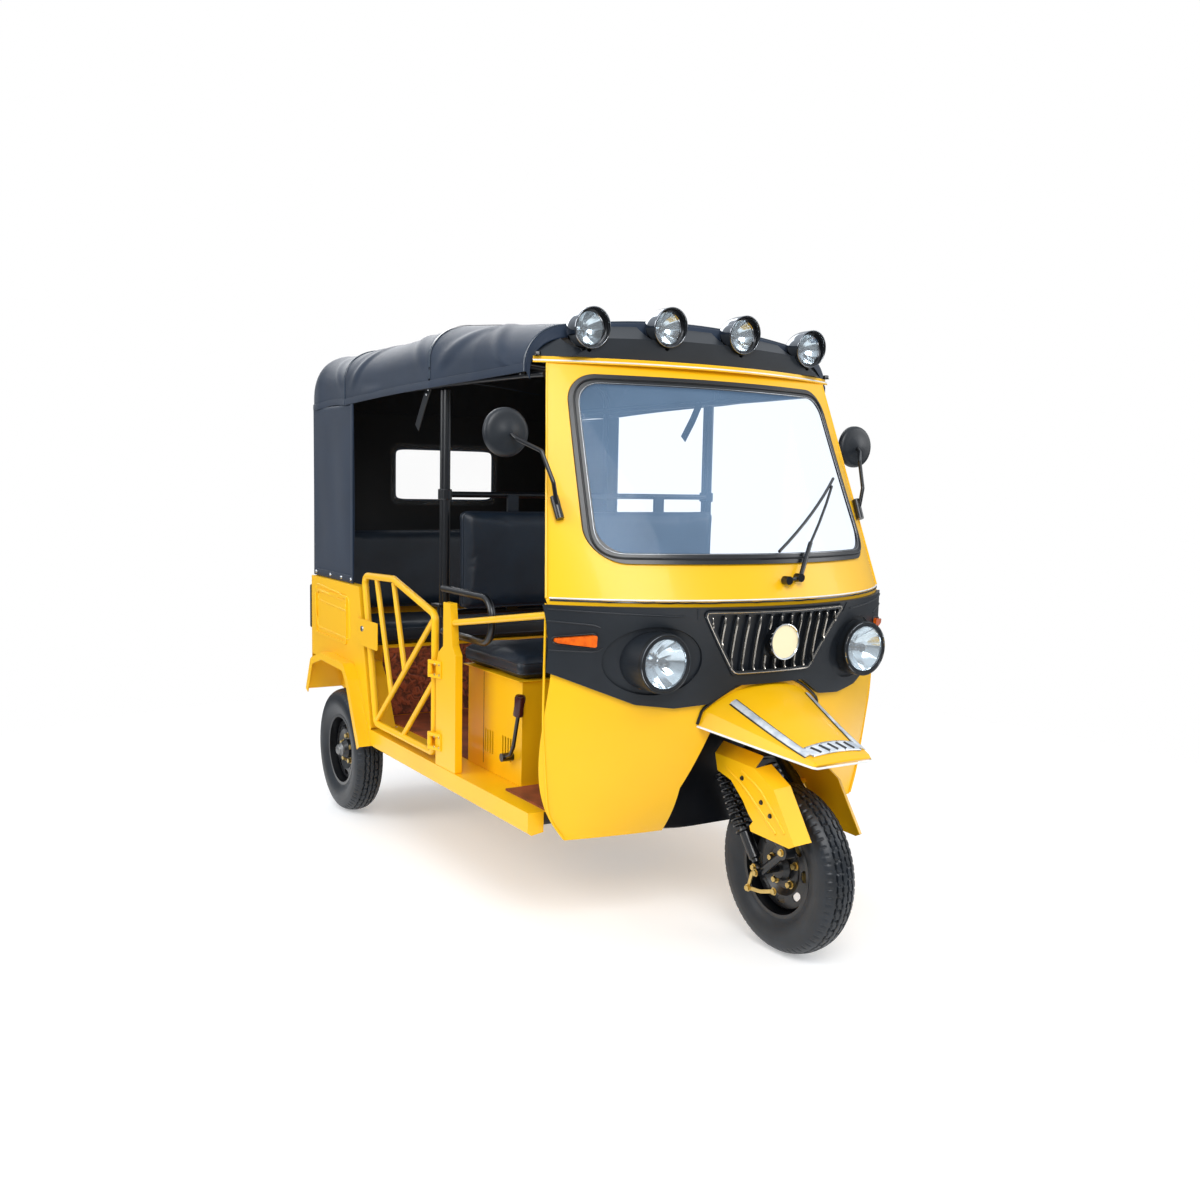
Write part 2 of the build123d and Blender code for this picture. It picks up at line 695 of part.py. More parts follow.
# --- mirrors and wiper --------------------------------------------------------------
mirror_dia = 137
mirror_depth = 30
mirror_head = (653, -579, 1436)
with BuildPart() as mirror_heads:
    for side in (-1, 1):
        x, back, z = side * mirror_head[0], mirror_head[1] + 8, mirror_head[2]
        radius = mirror_dia / 2
        with BuildSketch(side_plane(x)):
            with BuildLine():
                Polyline((back - mirror_depth, z), (back, z), (back, z + radius), (back - 6, z + radius))
                Spline((back - 6, z + radius), (back - 0.72 * mirror_depth, z + 0.62 * radius),
                       (back - mirror_depth, z), tangents=((-1, 0), (0, -1)))
            make_face()
        revolve(axis=Axis((x, 0, z), (0, 1, 0)))
save(mirror_heads, "mirror_heads")

mirror_foot_y = cowl_y_at(558, 1228) - 18
mirror_tail_y = mirror_head[1] + 8 - mirror_depth
mirror_route = [(558, mirror_foot_y, 1228), (572, mirror_foot_y, 1300), (590, -670, 1385),
                (640, mirror_tail_y - 16, 1418), (646, mirror_tail_y + 1.7, 1430)]
with BuildPart() as mirror_stalks:
    for side in (-1, 1):
        add(bar([(side * x, y, z) for x, y, z in mirror_route], 12, 14))
        add(bar([(side * 560, cowl_y_at(560, 1262) - 16.7, 1262), (side * 556, cowl_y_at(556, 1202) - 16.7, 1202)], 24))
    add(mirror_heads.part, mode=Mode.SUBTRACT)
save(mirror_stalks, "mirror_stalks")

# wiper: x and z of the two pivots, the arm's bend and end, and the blade's ends
wiper_pivots = [(19, 1041), (67, 1047)]
wiper_arm = [(67, 1047), (155, 1141), (361, 1304)]
wiper_blade = [(24, 1119), (398, 1328)]


def off_screen(points, distance):
    """Places in front of the screen at each x and z, this far forward of it."""
    return [(x, cowl_y_at(x, z) - distance, z) for x, z in points]


def between(ends, count):
    """Evenly spaced places from one end to the other."""
    (x0, z0), (x1, z1) = ends
    return [(x0 + (x1 - x0) * step / count, z0 + (z1 - z0) * step / count) for step in range(count + 1)]


with BuildPart() as wiper:
    for x, z in wiper_pivots:
        add(bar([(x, cowl_y_at(x, z) - 7, z), (x, cowl_y_at(x, z) - 30, z)], 24))
    add(bar(off_screen(wiper_pivots, 20), 10))
    add(bar(off_screen(wiper_arm[:2], 24), 13))
    add(bar(off_screen(between(wiper_arm[1:], 3), 25), 8))
    add(bar(off_screen(between(wiper_blade, 8), 17), 9))
save(wiper, "wiper")

# --- chassis ------------------------------------------------------------------------
rail_front_y = -700
engine_y, engine_width, engine_length = -180, 420, 240
rail_rear_y = 1225
cross_member_y = [-655, -380, 60, 540, 1200]
neck_y = -735
with BuildPart() as chassis_frame:
    for side in (-1, 1):
        with BuildSketch(Plane.XY.offset(rail_top_z - rail_height)):
            with Locations((side * rail_x, (rail_front_y + rail_rear_y) / 2)):
                Rectangle(rail_width, rail_rear_y - rail_front_y)
        extrude(amount=rail_height)
    for y in cross_member_y:
        with BuildSketch(Plane.XY.offset(rail_top_z - rail_height + 5)):
            with Locations((0, y)):
                Rectangle(2 * rail_x, 50)
        extrude(amount=rail_height - 5)
    for y in (-630, 540):
        with BuildSketch(Plane.XY.offset(rail_top_z - 40)):
            with Locations((0, y)):
                Rectangle(2 * sill_inner_x - 1, 40)
        extrude(amount=40)
    for front, rear in ((-360, engine_y - engine_length / 2 - 0.3), (engine_y + engine_length / 2 + 0.3, 40)):
        with BuildSketch(Plane.XY.offset(rail_top_z - 45)):
            with Locations((-120, (front + rear) / 2), (120, (front + rear) / 2)):
                Rectangle(50, rear - front)
        extrude(amount=35)
    with BuildSketch(Plane.XY.offset(rail_top_z - rail_height)):
        with Locations((0, neck_y + 22)):
            Rectangle(70, 90)
    extrude(amount=720 - rail_top_z + rail_height)
    with BuildSketch(steering_plane(head_tube_low)):
        Circle(head_tube_dia / 2)
    extrude(amount=head_tube_high - head_tube_low)
    with BuildSketch(side_plane(-20)):
        Polygon((neck_y - 15, 690), (neck_y - 10, 600), (-786, 640), (-830, 668), (-812, 735), (neck_y - 15, 718),
                align=None)
    extrude(amount=40)
    with BuildSketch(steering_plane(head_tube_low - 1)):
        Circle(stem_dia / 2 + stem_clearance)
    extrude(amount=head_tube_high - head_tube_low + 2, mode=Mode.SUBTRACT)
save(chassis_frame, "chassis_frame")

with BuildPart() as floor_pan:
    with BuildSketch(Plane.XY.offset(rail_top_z)):
        with Locations((0, (sill_front_y + sill_rear_y) / 2)):
            Rectangle(2 * sill_inner_x + 2, sill_rear_y - sill_front_y)
        Polygon((-555, sill_front_y), (-555, -720), (-380, well_back_y + 0.3), (380, well_back_y + 0.3), (555, -720),
                (555, sill_front_y), align=None)
        with Locations((0, (sill_rear_y + 775) / 2)):
            Rectangle(2 * arch_inner_x - 0.6, 775 - sill_rear_y)
        with Locations((0, neck_y + 22)):
            Rectangle(72, 92, mode=Mode.SUBTRACT)
        with Locations((0, engine_y)):
            RectangleRounded(engine_width + 20, engine_length + 20, 40, mode=Mode.SUBTRACT)
    extrude(amount=floor_sheet)
    for side in (-1, 1):
        with BuildSketch(section_plane(0, sill_front_y, 0)):
            Polygon((side * sill_inner_x, sill_bottom_z + 6), (side * (sill_outer_x - 12), sill_bottom_z),
                    (side * sill_outer_x, sill_bottom_z + 10), (side * sill_outer_x, floor_z),
                    (side * sill_inner_x, floor_z), align=None)
        extrude(amount=-(sill_rear_y - sill_front_y))
save(floor_pan, "floor_pan")

mat_rows = [(-664, -412, 555), (-8, 752, 490)]
with BuildPart() as floor_mats:
    for front, rear, half in mat_rows:
        with BuildSketch(Plane.XY.offset(floor_z)):
            with Locations((0, (front + rear) / 2)):
                Rectangle(2 * half, rear - front)
        extrude(amount=mat_thickness)
save(floor_mats, "floor_mats")

# --- rear tub, wheel arches, lamps --------------------------------------------------
# arch outline, y and z
arch_outer = [(575, 311), (640, 430), (700, 545), (752, 596), (1010, 604), (1140, 566), (1200, 430)]
door_strip = [(575, 311), (575, 378), (700, tub_top_z), (tub_rear_y, tub_top_z), (tub_rear_y, 566), (1140, 566)]


def arch_band(depth):
    """Arch outline closed by a copy of itself moved towards the axle by depth."""
    with BuildSketch() as face:
        with BuildLine():
            outer = FilletPolyline(*arch_outer, radius=40)
            inner = offset(outer, amount=depth, side=Side.RIGHT, closed=True)
        make_face()
    return face.sketch


with BuildPart() as rear_tub:
    for side in (-1, 1):
        with BuildSketch(side_plane(side * tub_outer_x)):
            Polygon(*door_strip, (1010, 604), (752, 596), (700, 545), (640, 430), align=None)
        extrude(amount=-side * sheet_wall)
        with BuildSketch(side_plane(side * tub_outer_x)):
            Polygon((575, 378), (700, tub_top_z), (752, tub_top_z), (637, 430), (605, 372), align=None)
        extrude(amount=-side * 22)
        with BuildSketch(side_plane(side * (tub_outer_x - 0.5))):
            with Locations((1010, 750)):
                RectangleRounded(370, 190, 20)
                RectangleRounded(346, 166, 14, mode=Mode.SUBTRACT)
        extrude(amount=side * 5)
    with BuildSketch(section_plane(0, tub_rear_y, 0)):
        with Locations((0, (tub_top_z + 420) / 2)):
            Rectangle(2 * tub_outer_x, tub_top_z - 420)
    extrude(amount=sheet_wall)
    with BuildSketch(section_plane(0, tub_rear_y - 0.5, 0)):
        with Locations((0, 680)):
            RectangleRounded(820, 210, 24)
            RectangleRounded(796, 186, 18, mode=Mode.SUBTRACT)
    extrude(amount=-5)
    with BuildSketch(Plane.XY.offset(tub_top_z - 25)):
        with BuildLine():
            Polyline((-tub_outer_x, 700), (-tub_outer_x, tub_rear_y), (tub_outer_x, tub_rear_y), (tub_outer_x, 700),
                     (tub_outer_x - 42, 700), (tub_outer_x - 42, tub_rear_y - 24),
                     (-tub_outer_x + 42, tub_rear_y - 24), (-tub_outer_x + 42, 700), (-tub_outer_x, 700))
        make_face()
    extrude(amount=25)
save(rear_tub, "rear_tub")

with BuildPart() as rear_arches:
    for side in (-1, 1):
        with BuildSketch(side_plane(side * arch_inner_x)):
            add(arch_band(sheet_wall))
        extrude(amount=side * (arch_outer_x - arch_inner_x))
        with BuildSketch(side_plane(side * arch_outer_x)):
            add(arch_band(arch_lip))
        extrude(amount=-side * sheet_wall)
        with BuildSketch(side_plane(side * arch_inner_x)):
            Polygon(*arch_outer, align=None)
        extrude(amount=side * sheet_wall)
save(rear_arches, "rear_arches")

with BuildPart() as tail_lamps:
    for side in (-1, 1):
        with BuildSketch(section_plane(side * 568, tub_rear_y + soft_gap, 760)):
            RectangleRounded(76, 190, 12)
        extrude(amount=-(1300 - tub_rear_y - soft_gap), taper=4)
save(tail_lamps, "tail_lamps")

# --- posts, tubes, bars -------------------------------------------------------------
post_outline = [(-166, floor_z), (-164, 750), (-140, 778), (-122, 912), (-69, 912), (-69, 770), (-32, 745), (-14, 700),
                (-14, floor_z)]
with BuildPart() as door_posts:
    for side in (-1, 1):
        add(plate(side_plane(side * 585), post_outline, side * 24, 4))
save(door_posts, "door_posts")

pillar_x = 537
pillar_dia = 24
pillar_rows = [72, 97]
cross_bar_z = 1252
low_bar_z = 860
backrest_rear_y = 49.4
roof_rail_z = 1592
with BuildPart() as cab_pillars:
    for side in (-1, 1):
        for y in pillar_rows:
            add(bar([(side * pillar_x, y, floor_z + soft_gap), (side * pillar_x, y, roof_rail_z)], pillar_dia))
        with BuildSketch(Plane.XY.offset(880)):
            with Locations((side * (pillar_x + 12), 85)):
                Rectangle(40, 70)
        extrude(amount=8)
    for z in (low_bar_z, cross_bar_z):
        add(bar([(-pillar_x, pillar_rows[0], z), (pillar_x, pillar_rows[0], z)], 20))
    for x in (-300, 300):
        with BuildSketch(section_plane(x, backrest_rear_y + 12.6, (low_bar_z + cross_bar_z) / 2)):
            Rectangle(40, cross_bar_z - low_bar_z)
        extrude(amount=12)
save(cab_pillars, "cab_pillars")

# bows: y, narrower by, shoulder z, crown z, foot z
roof_rail_x = bow_x - 5
bow_rows = [
    (-470, 31, 1747, 1780, 1605),
    (85, 0, 1806, 1832, 1605),
    (880, 0, 1788, 1818, tub_top_z + soft_gap),
    (1200, 0, 1790, 1818, tub_top_z + soft_gap),
]
with BuildPart() as canopy_bows:
    for y, narrower, shoulder, crown, foot in bow_rows:
        half = bow_x - narrower
        add(bar([(-half, y, foot), (-half, y, shoulder - 110), (-canopy_shoulder_x, y, shoulder - 24),
                 (0, y, crown - 20), (canopy_shoulder_x, y, shoulder - 24), (half, y, shoulder - 110),
                 (half, y, foot)], bow_dia, 50))
    for side in (-1, 1):
        add(bar([(side * 516, -547, 1605), (side * 536, -470, 1605), (side * (roof_rail_x - 12), -220, 1605),
                 (side * roof_rail_x, 85, 1605), (side * roof_rail_x, 1250, 1605)], 18, 40))
save(canopy_bows, "canopy_bows")

guard_route = [(-80, 844), (-744, 943)]
with BuildPart() as guard_bars:
    for side in (-1, 1):
        add(bar([(side * 597.5, y, z) for y, z in guard_route], 20))
    with BuildSketch(side_plane(-700)):
        Polygon(*post_outline, align=None)
        offset(amount=0.4)
    extrude(amount=1400, mode=Mode.SUBTRACT)
save(guard_bars, "guard_bars")

loop_route = [(pillar_rows[0] - pillar_dia / 2 - 0.3, 942), (-304, 942), (-304, 800),
              (pillar_rows[0] - pillar_dia / 2 - 0.3, 800)]
with BuildPart() as grab_loops:
    for side in (-1, 1):
        add(bar([(side * 552, y, z) for y, z in loop_route], 23, 64))
save(grab_loops, "grab_loops")

# --- canopy, curtain ----------------------------------------------------------------
# canopy sections: y, half width over the widest, lower edge z, shoulder z, crown z
canopy_rows = [
    (-510, -32, 1612, 1752, 1786),
    (-220, -9, 1602, 1778, 1806),
    (85, 0, 1596, 1806, 1832),
    (480, 0, 1588, 1790, 1818),
    (880, 1, 1574, 1788, 1818),
    (1060, 1, 1572, 1776, 1808),
    (1205, 1, 1570, 1794, 1824),
    (1262, 1, 1570, 1766, 1797),
    (1290, 1, 1570, 1698, 1728),
]


def canopy_solid(wall, low):
    with BuildPart() as hood:
        for y, fuller, edge, shoulder, crown in canopy_rows:
            half = canopy_half_width + fuller - wall
            shoulder, crown = shoulder - wall, crown - wall
            with BuildSketch(section_plane(0, y, 0)):
                with BuildLine():
                    Line((-half, edge - low), (-half, shoulder - 120))
                    ThreePointArc((-half, shoulder - 120), (-half + 40, shoulder - 40),
                                  (-canopy_shoulder_x, shoulder))
                    ThreePointArc((-canopy_shoulder_x, shoulder), (0, crown), (canopy_shoulder_x, shoulder))
                    ThreePointArc((canopy_shoulder_x, shoulder), (half - 40, shoulder - 40),
                                  (half, shoulder - 120))
                    Polyline((half, shoulder - 120), (half, edge - low), (-half, edge - low))
                make_face()
        loft(ruled=True)
    return hood.part


with BuildPart() as canopy_top:
    add(canopy_solid(0, 0))
    with BuildPart(mode=Mode.PRIVATE) as hollow:
        add(canopy_solid(canopy_wall, 30))
        with BuildSketch(section_plane(0, canopy_rows[-1][0] - canopy_wall, 0)):
            Rectangle(2000, 6000)
        extrude(amount=-100, mode=Mode.SUBTRACT)
        with BuildSketch(section_plane(0, canopy_rows[0][0] + canopy_wall, 0)):
            with Locations((0, 1660 + 500)):
                Rectangle(2000, 1000)
        extrude(amount=100, mode=Mode.SUBTRACT)
    add(hollow.part, mode=Mode.SUBTRACT)
save(canopy_top, "canopy_top")

window_x, window_z, window_w, window_h = 0, 1316, 470, 226
curtain_top_z = 1569.5
with BuildPart() as rear_curtain:
    with BuildSketch(Plane.XY.offset(tub_top_z + soft_gap)):
        with BuildLine():
            FilletPolyline((-curtain_half, 800), (-curtain_half, 1288), (curtain_half, 1288), (curtain_half, 800),
                           (curtain_half - canopy_wall, 800), (curtain_half - canopy_wall, 1288 - canopy_wall),
                           (-curtain_half + canopy_wall, 1288 - canopy_wall), (-curtain_half + canopy_wall, 800),
                           (-curtain_half, 800), radius=2)
        make_face()
    extrude(amount=curtain_top_z - tub_top_z - soft_gap)
    with BuildSketch(section_plane(window_x, 1320, window_z)):
        RectangleRounded(window_w, window_h, 36)
    extrude(amount=60, mode=Mode.SUBTRACT)
save(rear_curtain, "rear_curtain")

with BuildPart() as rear_window:
    with BuildSketch(section_plane(window_x, 1288 - canopy_wall - soft_gap, window_z)):
        RectangleRounded(window_w + 40, window_h + 40, 44)
    extrude(amount=2)
save(rear_window, "rear_window")

# --- seats --------------------------------------------------------------------------
seat_box_front_y, seat_box_rear_y, seat_box_half, seat_box_top_z = -400, -22, 495, 700
with BuildPart() as seat_box:
    with BuildSketch(Plane.XY.offset(floor_z + soft_gap)):
        with Locations((0, (seat_box_front_y + seat_box_rear_y) / 2)):
            Rectangle(2 * seat_box_half, seat_box_rear_y - seat_box_front_y)
            Rectangle(2 * seat_box_half - 2 * sheet_wall, seat_box_rear_y - seat_box_front_y - 2 * sheet_wall,
                      mode=Mode.SUBTRACT)
    extrude(amount=seat_box_top_z - floor_z - soft_gap)
    with BuildSketch(Plane.XY.offset(seat_box_top_z - sheet_wall)):
        with Locations((0, (seat_box_front_y + seat_box_rear_y) / 2)):
            Rectangle(2 * seat_box_half + 30, seat_box_rear_y - seat_box_front_y + 16)
    extrude(amount=sheet_wall)
    with BuildSketch(side_plane(-seat_box_half - 10)):
        for y, z in ((-175, 470), (-300, 470)):
            with Locations((y, z)):
                with GridLocations(18, 0, 4, 1):
                    SlotOverall(76, 8, rotation=90)
    extrude(amount=2 * seat_box_half + 20, mode=Mode.SUBTRACT)
save(seat_box, "seat_box")

with BuildPart() as driver_cushion:
    with BuildSketch(Plane.XY.offset(seat_box_top_z + soft_gap)):
        with Locations((0, -200)):
            RectangleRounded(1040, 436, 40)
    extrude(amount=68)
    fillet(driver_cushion.faces().sort_by(Axis.Z)[-1].edges(), 14)
save(driver_cushion, "driver_cushion")

with BuildPart() as driver_backrest:
    with BuildSketch(section_plane(0, backrest_rear_y, 1038)):
        RectangleRounded(1044, 350, 40)
    extrude(amount=56)
    fillet(driver_backrest.faces().sort_by(Axis.Y)[0].edges(), 14)
save(driver_backrest, "driver_backrest")

bench_front_y, bench_base_z = 762, 655
with BuildPart() as bench_base:
    with BuildSketch(Plane.XY.offset(floor_z)):
        with Locations((0, bench_front_y + 5)):
            Rectangle(2 * arch_inner_x - 14, sheet_wall)
    extrude(amount=bench_base_z - floor_z)
    with BuildSketch(Plane.XY.offset(bench_base_z - sheet_wall)):
        with Locations((0, (bench_front_y + 1246) / 2)):
            Rectangle(2 * tub_outer_x - 50, 1246 - bench_front_y)
    extrude(amount=sheet_wall)
save(bench_base, "bench_base")

with BuildPart() as kick_panel:
    with BuildSketch(Plane.XY.offset(mat_top_z + soft_gap)):
        with Locations((0, bench_front_y)):
            Rectangle(2 * arch_inner_x - 20, 6)
    extrude(amount=bench_base_z - mat_top_z - 12)
save(kick_panel, "kick_panel")

with BuildPart() as bench_cushion:
    with BuildSketch(Plane.XY.offset(bench_base_z + soft_gap)):
        with Locations((0, 940)):
            RectangleRounded(1140, 400, 40)
    extrude(amount=82)
    fillet(bench_cushion.faces().sort_by(Axis.Z)[-1].edges(), 14)
save(bench_cushion, "bench_cushion")

with BuildPart() as bench_backrest:
    with BuildSketch(side_plane(-565)):
        Polygon((1150, 742), (1230.7, 742), (1230.7, 1095), (1180, 1095), align=None)
    extrude(amount=1130)
    fillet(bench_backrest.edges().filter_by(Axis.X), 14)
save(bench_backrest, "bench_backrest")

# --- dashboard and controls ---------------------------------------------------------
with BuildPart() as dashboard:
    with BuildSketch(side_plane(-560)):
        Polygon((-1000, 880), (-880, 880), (-850, 930), (-870, 985), (-1000, 985), align=None)
    extrude(amount=1120)
    with BuildPart(mode=Mode.PRIVATE) as cabin:
        add(cowl_solid(cowl_low, sheet_wall + soft_gap))
    add(cabin.part, mode=Mode.INTERSECT)
    for side in (-1, 1):
        with BuildSketch(section_plane(side * headlamp_x, -845, headlamp_z)):
            Circle(headlamp_dia / 2 + headlamp_rim + 5)
        extrude(amount=200, mode=Mode.SUBTRACT)
save(dashboard, "dashboard")

with BuildPart() as controls:
    lever_x = -seat_box_half - 29
    add(bar([(lever_x, -340, 455), (lever_x, -380, 470), (lever_x, -400, 500), (lever_x, -430, 606)], 12, 8))
    add(bar([(lever_x, -429, 604), (lever_x, -442, 664)], 28))
    add(bar([(-seat_box_half - soft_gap, -340, 455), (lever_x - 10, -340, 455)], 26))
    pedal_end = Vector(120, -600, 470)
    add(bar([(120, -560, mat_top_z + 0.3), (120, -560, 440), pedal_end], 12, 12))
    with BuildSketch(Plane(origin=pedal_end - Vector(0, 0, 2), z_dir=(0, -0.8, 0.6))):
        RectangleRounded(60, 50, 8)
    extrude(amount=8)
save(controls, "controls")

# --- rear axle, springs, engine, exhaust --------------------------------------------
axle_tube_dia = 56
with BuildPart() as rear_axle:
    inner_face = rear_wheel_x - rim_width / 2 - 8 - drum_width - 4
    add(bar([(-inner_face, rear_axle_y, axle_z), (inner_face, rear_axle_y, axle_z)], axle_tube_dia))
    add(bar([(-rear_wheel_x - 34, rear_axle_y, axle_z), (rear_wheel_x + 34, rear_axle_y, axle_z)], axle_dia))
    with Locations((0, rear_axle_y, axle_z)):
        Sphere(96)
    add(bar([(0, rear_axle_y - 60, axle_z), (0, rear_axle_y - 150, axle_z + 10)], 70))
    add(bar([(0, rear_axle_y - 140, axle_z + 9), (0, engine_y + engine_length / 2 + 1.6, 285)], 44))
save(rear_axle, "rear_axle")

leaf_rows = [(330, 0), (270, 8), (200, 16), (130, 24)]
with BuildPart() as leaf_springs:
    for side in (-1, 1):
        for reach, drop in leaf_rows:
            top = axle_z + axle_tube_dia / 2 + 0.3 + 31.5 - drop
            lift = (rail_top_z - rail_height - 0.3 - top - drop) * (reach / 330) ** 2
            with BuildSketch(side_plane(side * rail_x - 28)):
                with BuildLine():
                    ThreePointArc((rear_axle_y - reach, top + lift), (rear_axle_y, top),
                                  (rear_axle_y + reach, top + lift))
                    Line((rear_axle_y + reach, top + lift), (rear_axle_y + reach, top + lift - 7.5))
                    ThreePointArc((rear_axle_y + reach, top + lift - 7.5), (rear_axle_y, top - 7.5),
                                  (rear_axle_y - reach, top + lift - 7.5))
                    Line((rear_axle_y - reach, top + lift - 7.5), (rear_axle_y - reach, top + lift))
                make_face()
            extrude(amount=56)
save(leaf_springs, "leaf_springs")

with BuildPart() as engine:
    with BuildSketch(Plane.XY.offset(252)):
        with Locations((0, engine_y)):
            RectangleRounded(engine_width, engine_length, 40)
    extrude(amount=320)
    with BuildSketch(Plane.XY.offset(572)):
        with Locations((60, -230)):
            RectangleRounded(170, 130, 20)
    extrude(amount=60)
save(engine, "engine")

exhaust_route = [(engine_width / 2 + 0.5, -240, 285), (300, -240, 285), (300, -100, 255), (300, 120, 255)]
with BuildPart() as exhaust:
    add(bar(exhaust_route, 34, 30))
    add(bar([(300, 110, 255), (300, 480, 255)], 96))
    add(bar([(300, 470, 255), (300, 620, 240)], 30))
save(exhaust, "exhaust")

# --- gates --------------------------------------------------------------------------
# outer loop and inner bars, y and z
gate_front_y = 14
gate_loop = [(gate_front_y, 640), (gate_front_y, 402), (540, 402), (662, 938), (376, 948), (gate_front_y, 862),
             (gate_front_y, 639)]
gate_bars = [((528, 910), (392, 530)), ((373, 935), (272, 640)), ((528, 420), (24, 846)), ((280, 410), (22, 640))]
gate_hinge_z = (451, 689)
knuckle_half = 16
knuckle_radius = hinge_pin_dia / 2 + 3.5
for side, hand in ((1, "left"), (-1, "right")):
    with BuildPart() as gate:
        add(bar([(side * gate_x, y, z) for y, z in gate_loop], gate_tube_dia, 30))
        for ends in gate_bars:
            add(bar([(side * gate_x, y, z) for y, z in ends], gate_bar_dia))
        add(plate(side_plane(side * (gate_x + 15)), [(490, 678), (490, 778), (700, 778), (685, 678)], side * 3, 5))
        add(plate(side_plane(side * (gate_x + 8)), [(566, 690), (600, 690), (612, 770), (578, 770)], side * 8))
        for z in gate_hinge_z:
            with BuildSketch(Plane.XY.offset(z - knuckle_half)):
                Polygon((side * 604, 20), (side * 612, 40), (side * (hinge_x + knuckle_radius - 1), hinge_y + 3),
                        (side * (hinge_x - knuckle_radius + 2), hinge_y), align=None)
                with Locations((side * hinge_x, hinge_y)):
                    Circle(knuckle_radius)
                    Circle(hinge_pin_dia / 2 + 0.3, mode=Mode.SUBTRACT)
            extrude(amount=2 * knuckle_half)
    save(gate, f"gate_{hand}")

with BuildPart() as gate_hinges:
    for side in (-1, 1):
        for z in gate_hinge_z:
            for low in (-knuckle_half - 12, knuckle_half + 0.5):
                with BuildSketch(Plane.XY.offset(z + low)):
                    Polygon((side * 609.4, -60), (side * 613, -60), (side * (hinge_x + knuckle_radius - 1), hinge_y - 2),
                            (side * (hinge_x - 4), hinge_y + 5), (side * 609.4, -14), align=None)
                    with Locations((side * hinge_x, hinge_y)):
                        Circle(knuckle_radius)
                extrude(amount=11.5)
            with BuildSketch(Plane.XY.offset(z - knuckle_half - 12)):
                with Locations((side * hinge_x, hinge_y)):
                    Circle(hinge_pin_dia / 2)
            extrude(amount=2 * knuckle_half + 24)
            with BuildSketch(Plane.XY.offset(z - knuckle_half - 12)):
                with Locations((side * 611.2, -40)):
                    Rectangle(3.6, 40)
            extrude(amount=2 * knuckle_half + 24)
save(gate_hinges, "gate_hinges")
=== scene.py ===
"""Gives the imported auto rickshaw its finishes, its vinyl and padding, and its small fittings.

Everything is in metres in the vehicle's own frame: it faces -Y, +X is its left side and the
ground is z = 0. Painted and machined pieces keep the solids they were built as. Soft pieces,
tyres, lamps and trim are surfaces worked out on grids of two parameters.
"""
import json
import math

import bpy
import numpy as np
from mathutils import Matrix, Vector
from mathutils.bvhtree import BVHTree


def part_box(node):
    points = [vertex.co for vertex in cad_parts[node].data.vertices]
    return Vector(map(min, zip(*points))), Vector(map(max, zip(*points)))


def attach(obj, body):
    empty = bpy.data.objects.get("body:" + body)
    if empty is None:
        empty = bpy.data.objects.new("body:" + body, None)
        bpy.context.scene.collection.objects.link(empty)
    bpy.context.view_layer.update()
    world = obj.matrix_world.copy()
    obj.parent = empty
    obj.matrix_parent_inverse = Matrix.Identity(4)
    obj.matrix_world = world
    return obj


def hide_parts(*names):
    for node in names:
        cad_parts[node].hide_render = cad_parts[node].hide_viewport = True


bl_info = {
    "name": "Rickshaw Dresser",
    "version": (1, 0, 0),
    "blender": (4, 5, 0),
    "location": "View3D > Sidebar > Rickshaw",
    "description": "Finishes, soft goods and fittings for a three-wheeled taxi",
    "category": "Object",
}

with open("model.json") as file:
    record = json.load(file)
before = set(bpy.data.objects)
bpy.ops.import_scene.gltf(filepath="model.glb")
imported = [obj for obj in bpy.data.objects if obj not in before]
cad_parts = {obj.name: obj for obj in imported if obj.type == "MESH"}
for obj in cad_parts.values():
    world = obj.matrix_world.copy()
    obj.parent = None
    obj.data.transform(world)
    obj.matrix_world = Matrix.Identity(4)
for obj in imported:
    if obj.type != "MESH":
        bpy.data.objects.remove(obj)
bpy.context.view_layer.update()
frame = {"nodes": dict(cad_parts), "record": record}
SIDES = (-1, 1)


# --- numbers ------------------------------------------------------------------------
def srgb(text, alpha=1.0):
    """Linear RGBA of a hex colour: each channel is ((c + 0.055) / 1.055) ** 2.4, or c / 12.92 when dark."""
    channels = np.array([int(text[i:i + 2], 16) for i in (1, 3, 5)]) / 255
    linear = np.where(channels <= 0.04045, channels / 12.92, ((channels + 0.055) / 1.055) ** 2.4)
    return (*linear.tolist(), alpha)


def unit(vectors):
    """Each vector divided by its length."""
    vectors = np.asarray(vectors, float)
    return vectors / np.maximum(np.linalg.norm(vectors, axis=-1, keepdims=True), 1e-12)


def middle(node):
    low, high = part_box(node)
    return np.array((low + high) / 2)


WHEELS = {
    "front_wheel": ("front_tyre", "front_rim", middle("front_tyre"), -1),
    "rear_wheel_left": ("rear_left_tyre", "rear_left_rim", middle("rear_left_tyre"), 1),
    "rear_wheel_right": ("rear_right_tyre", "rear_right_rim", middle("rear_right_tyre"), -1),
}
TYRE_RADIUS = (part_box("front_tyre")[1].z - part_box("front_tyre")[0].z) / 2
HEADLAMP_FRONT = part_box("headlamp_lenses")[0].y
HEADLAMPS = [(side * 0.362, HEADLAMP_FRONT, 0.824) for side in SIDES]
ROOF_LAMPS = [(-0.406, -0.610, 1.736), (-0.138, -0.610, 1.758), (0.138, -0.610, 1.758),
              (0.406, -0.610, 1.736)]
LAMP_RADIUS = 0.0575


# --- settings -----------------------------------------------------------------------
def colour_setting(name, description, text):
    return bpy.props.FloatVectorProperty(name=name, description=description, subtype="COLOR", size=4,
                                         min=0, max=1, default=srgb(text))


def length_setting(name, description, metres):
    return bpy.props.FloatProperty(name=name, description=description, unit="LENGTH", default=metres)


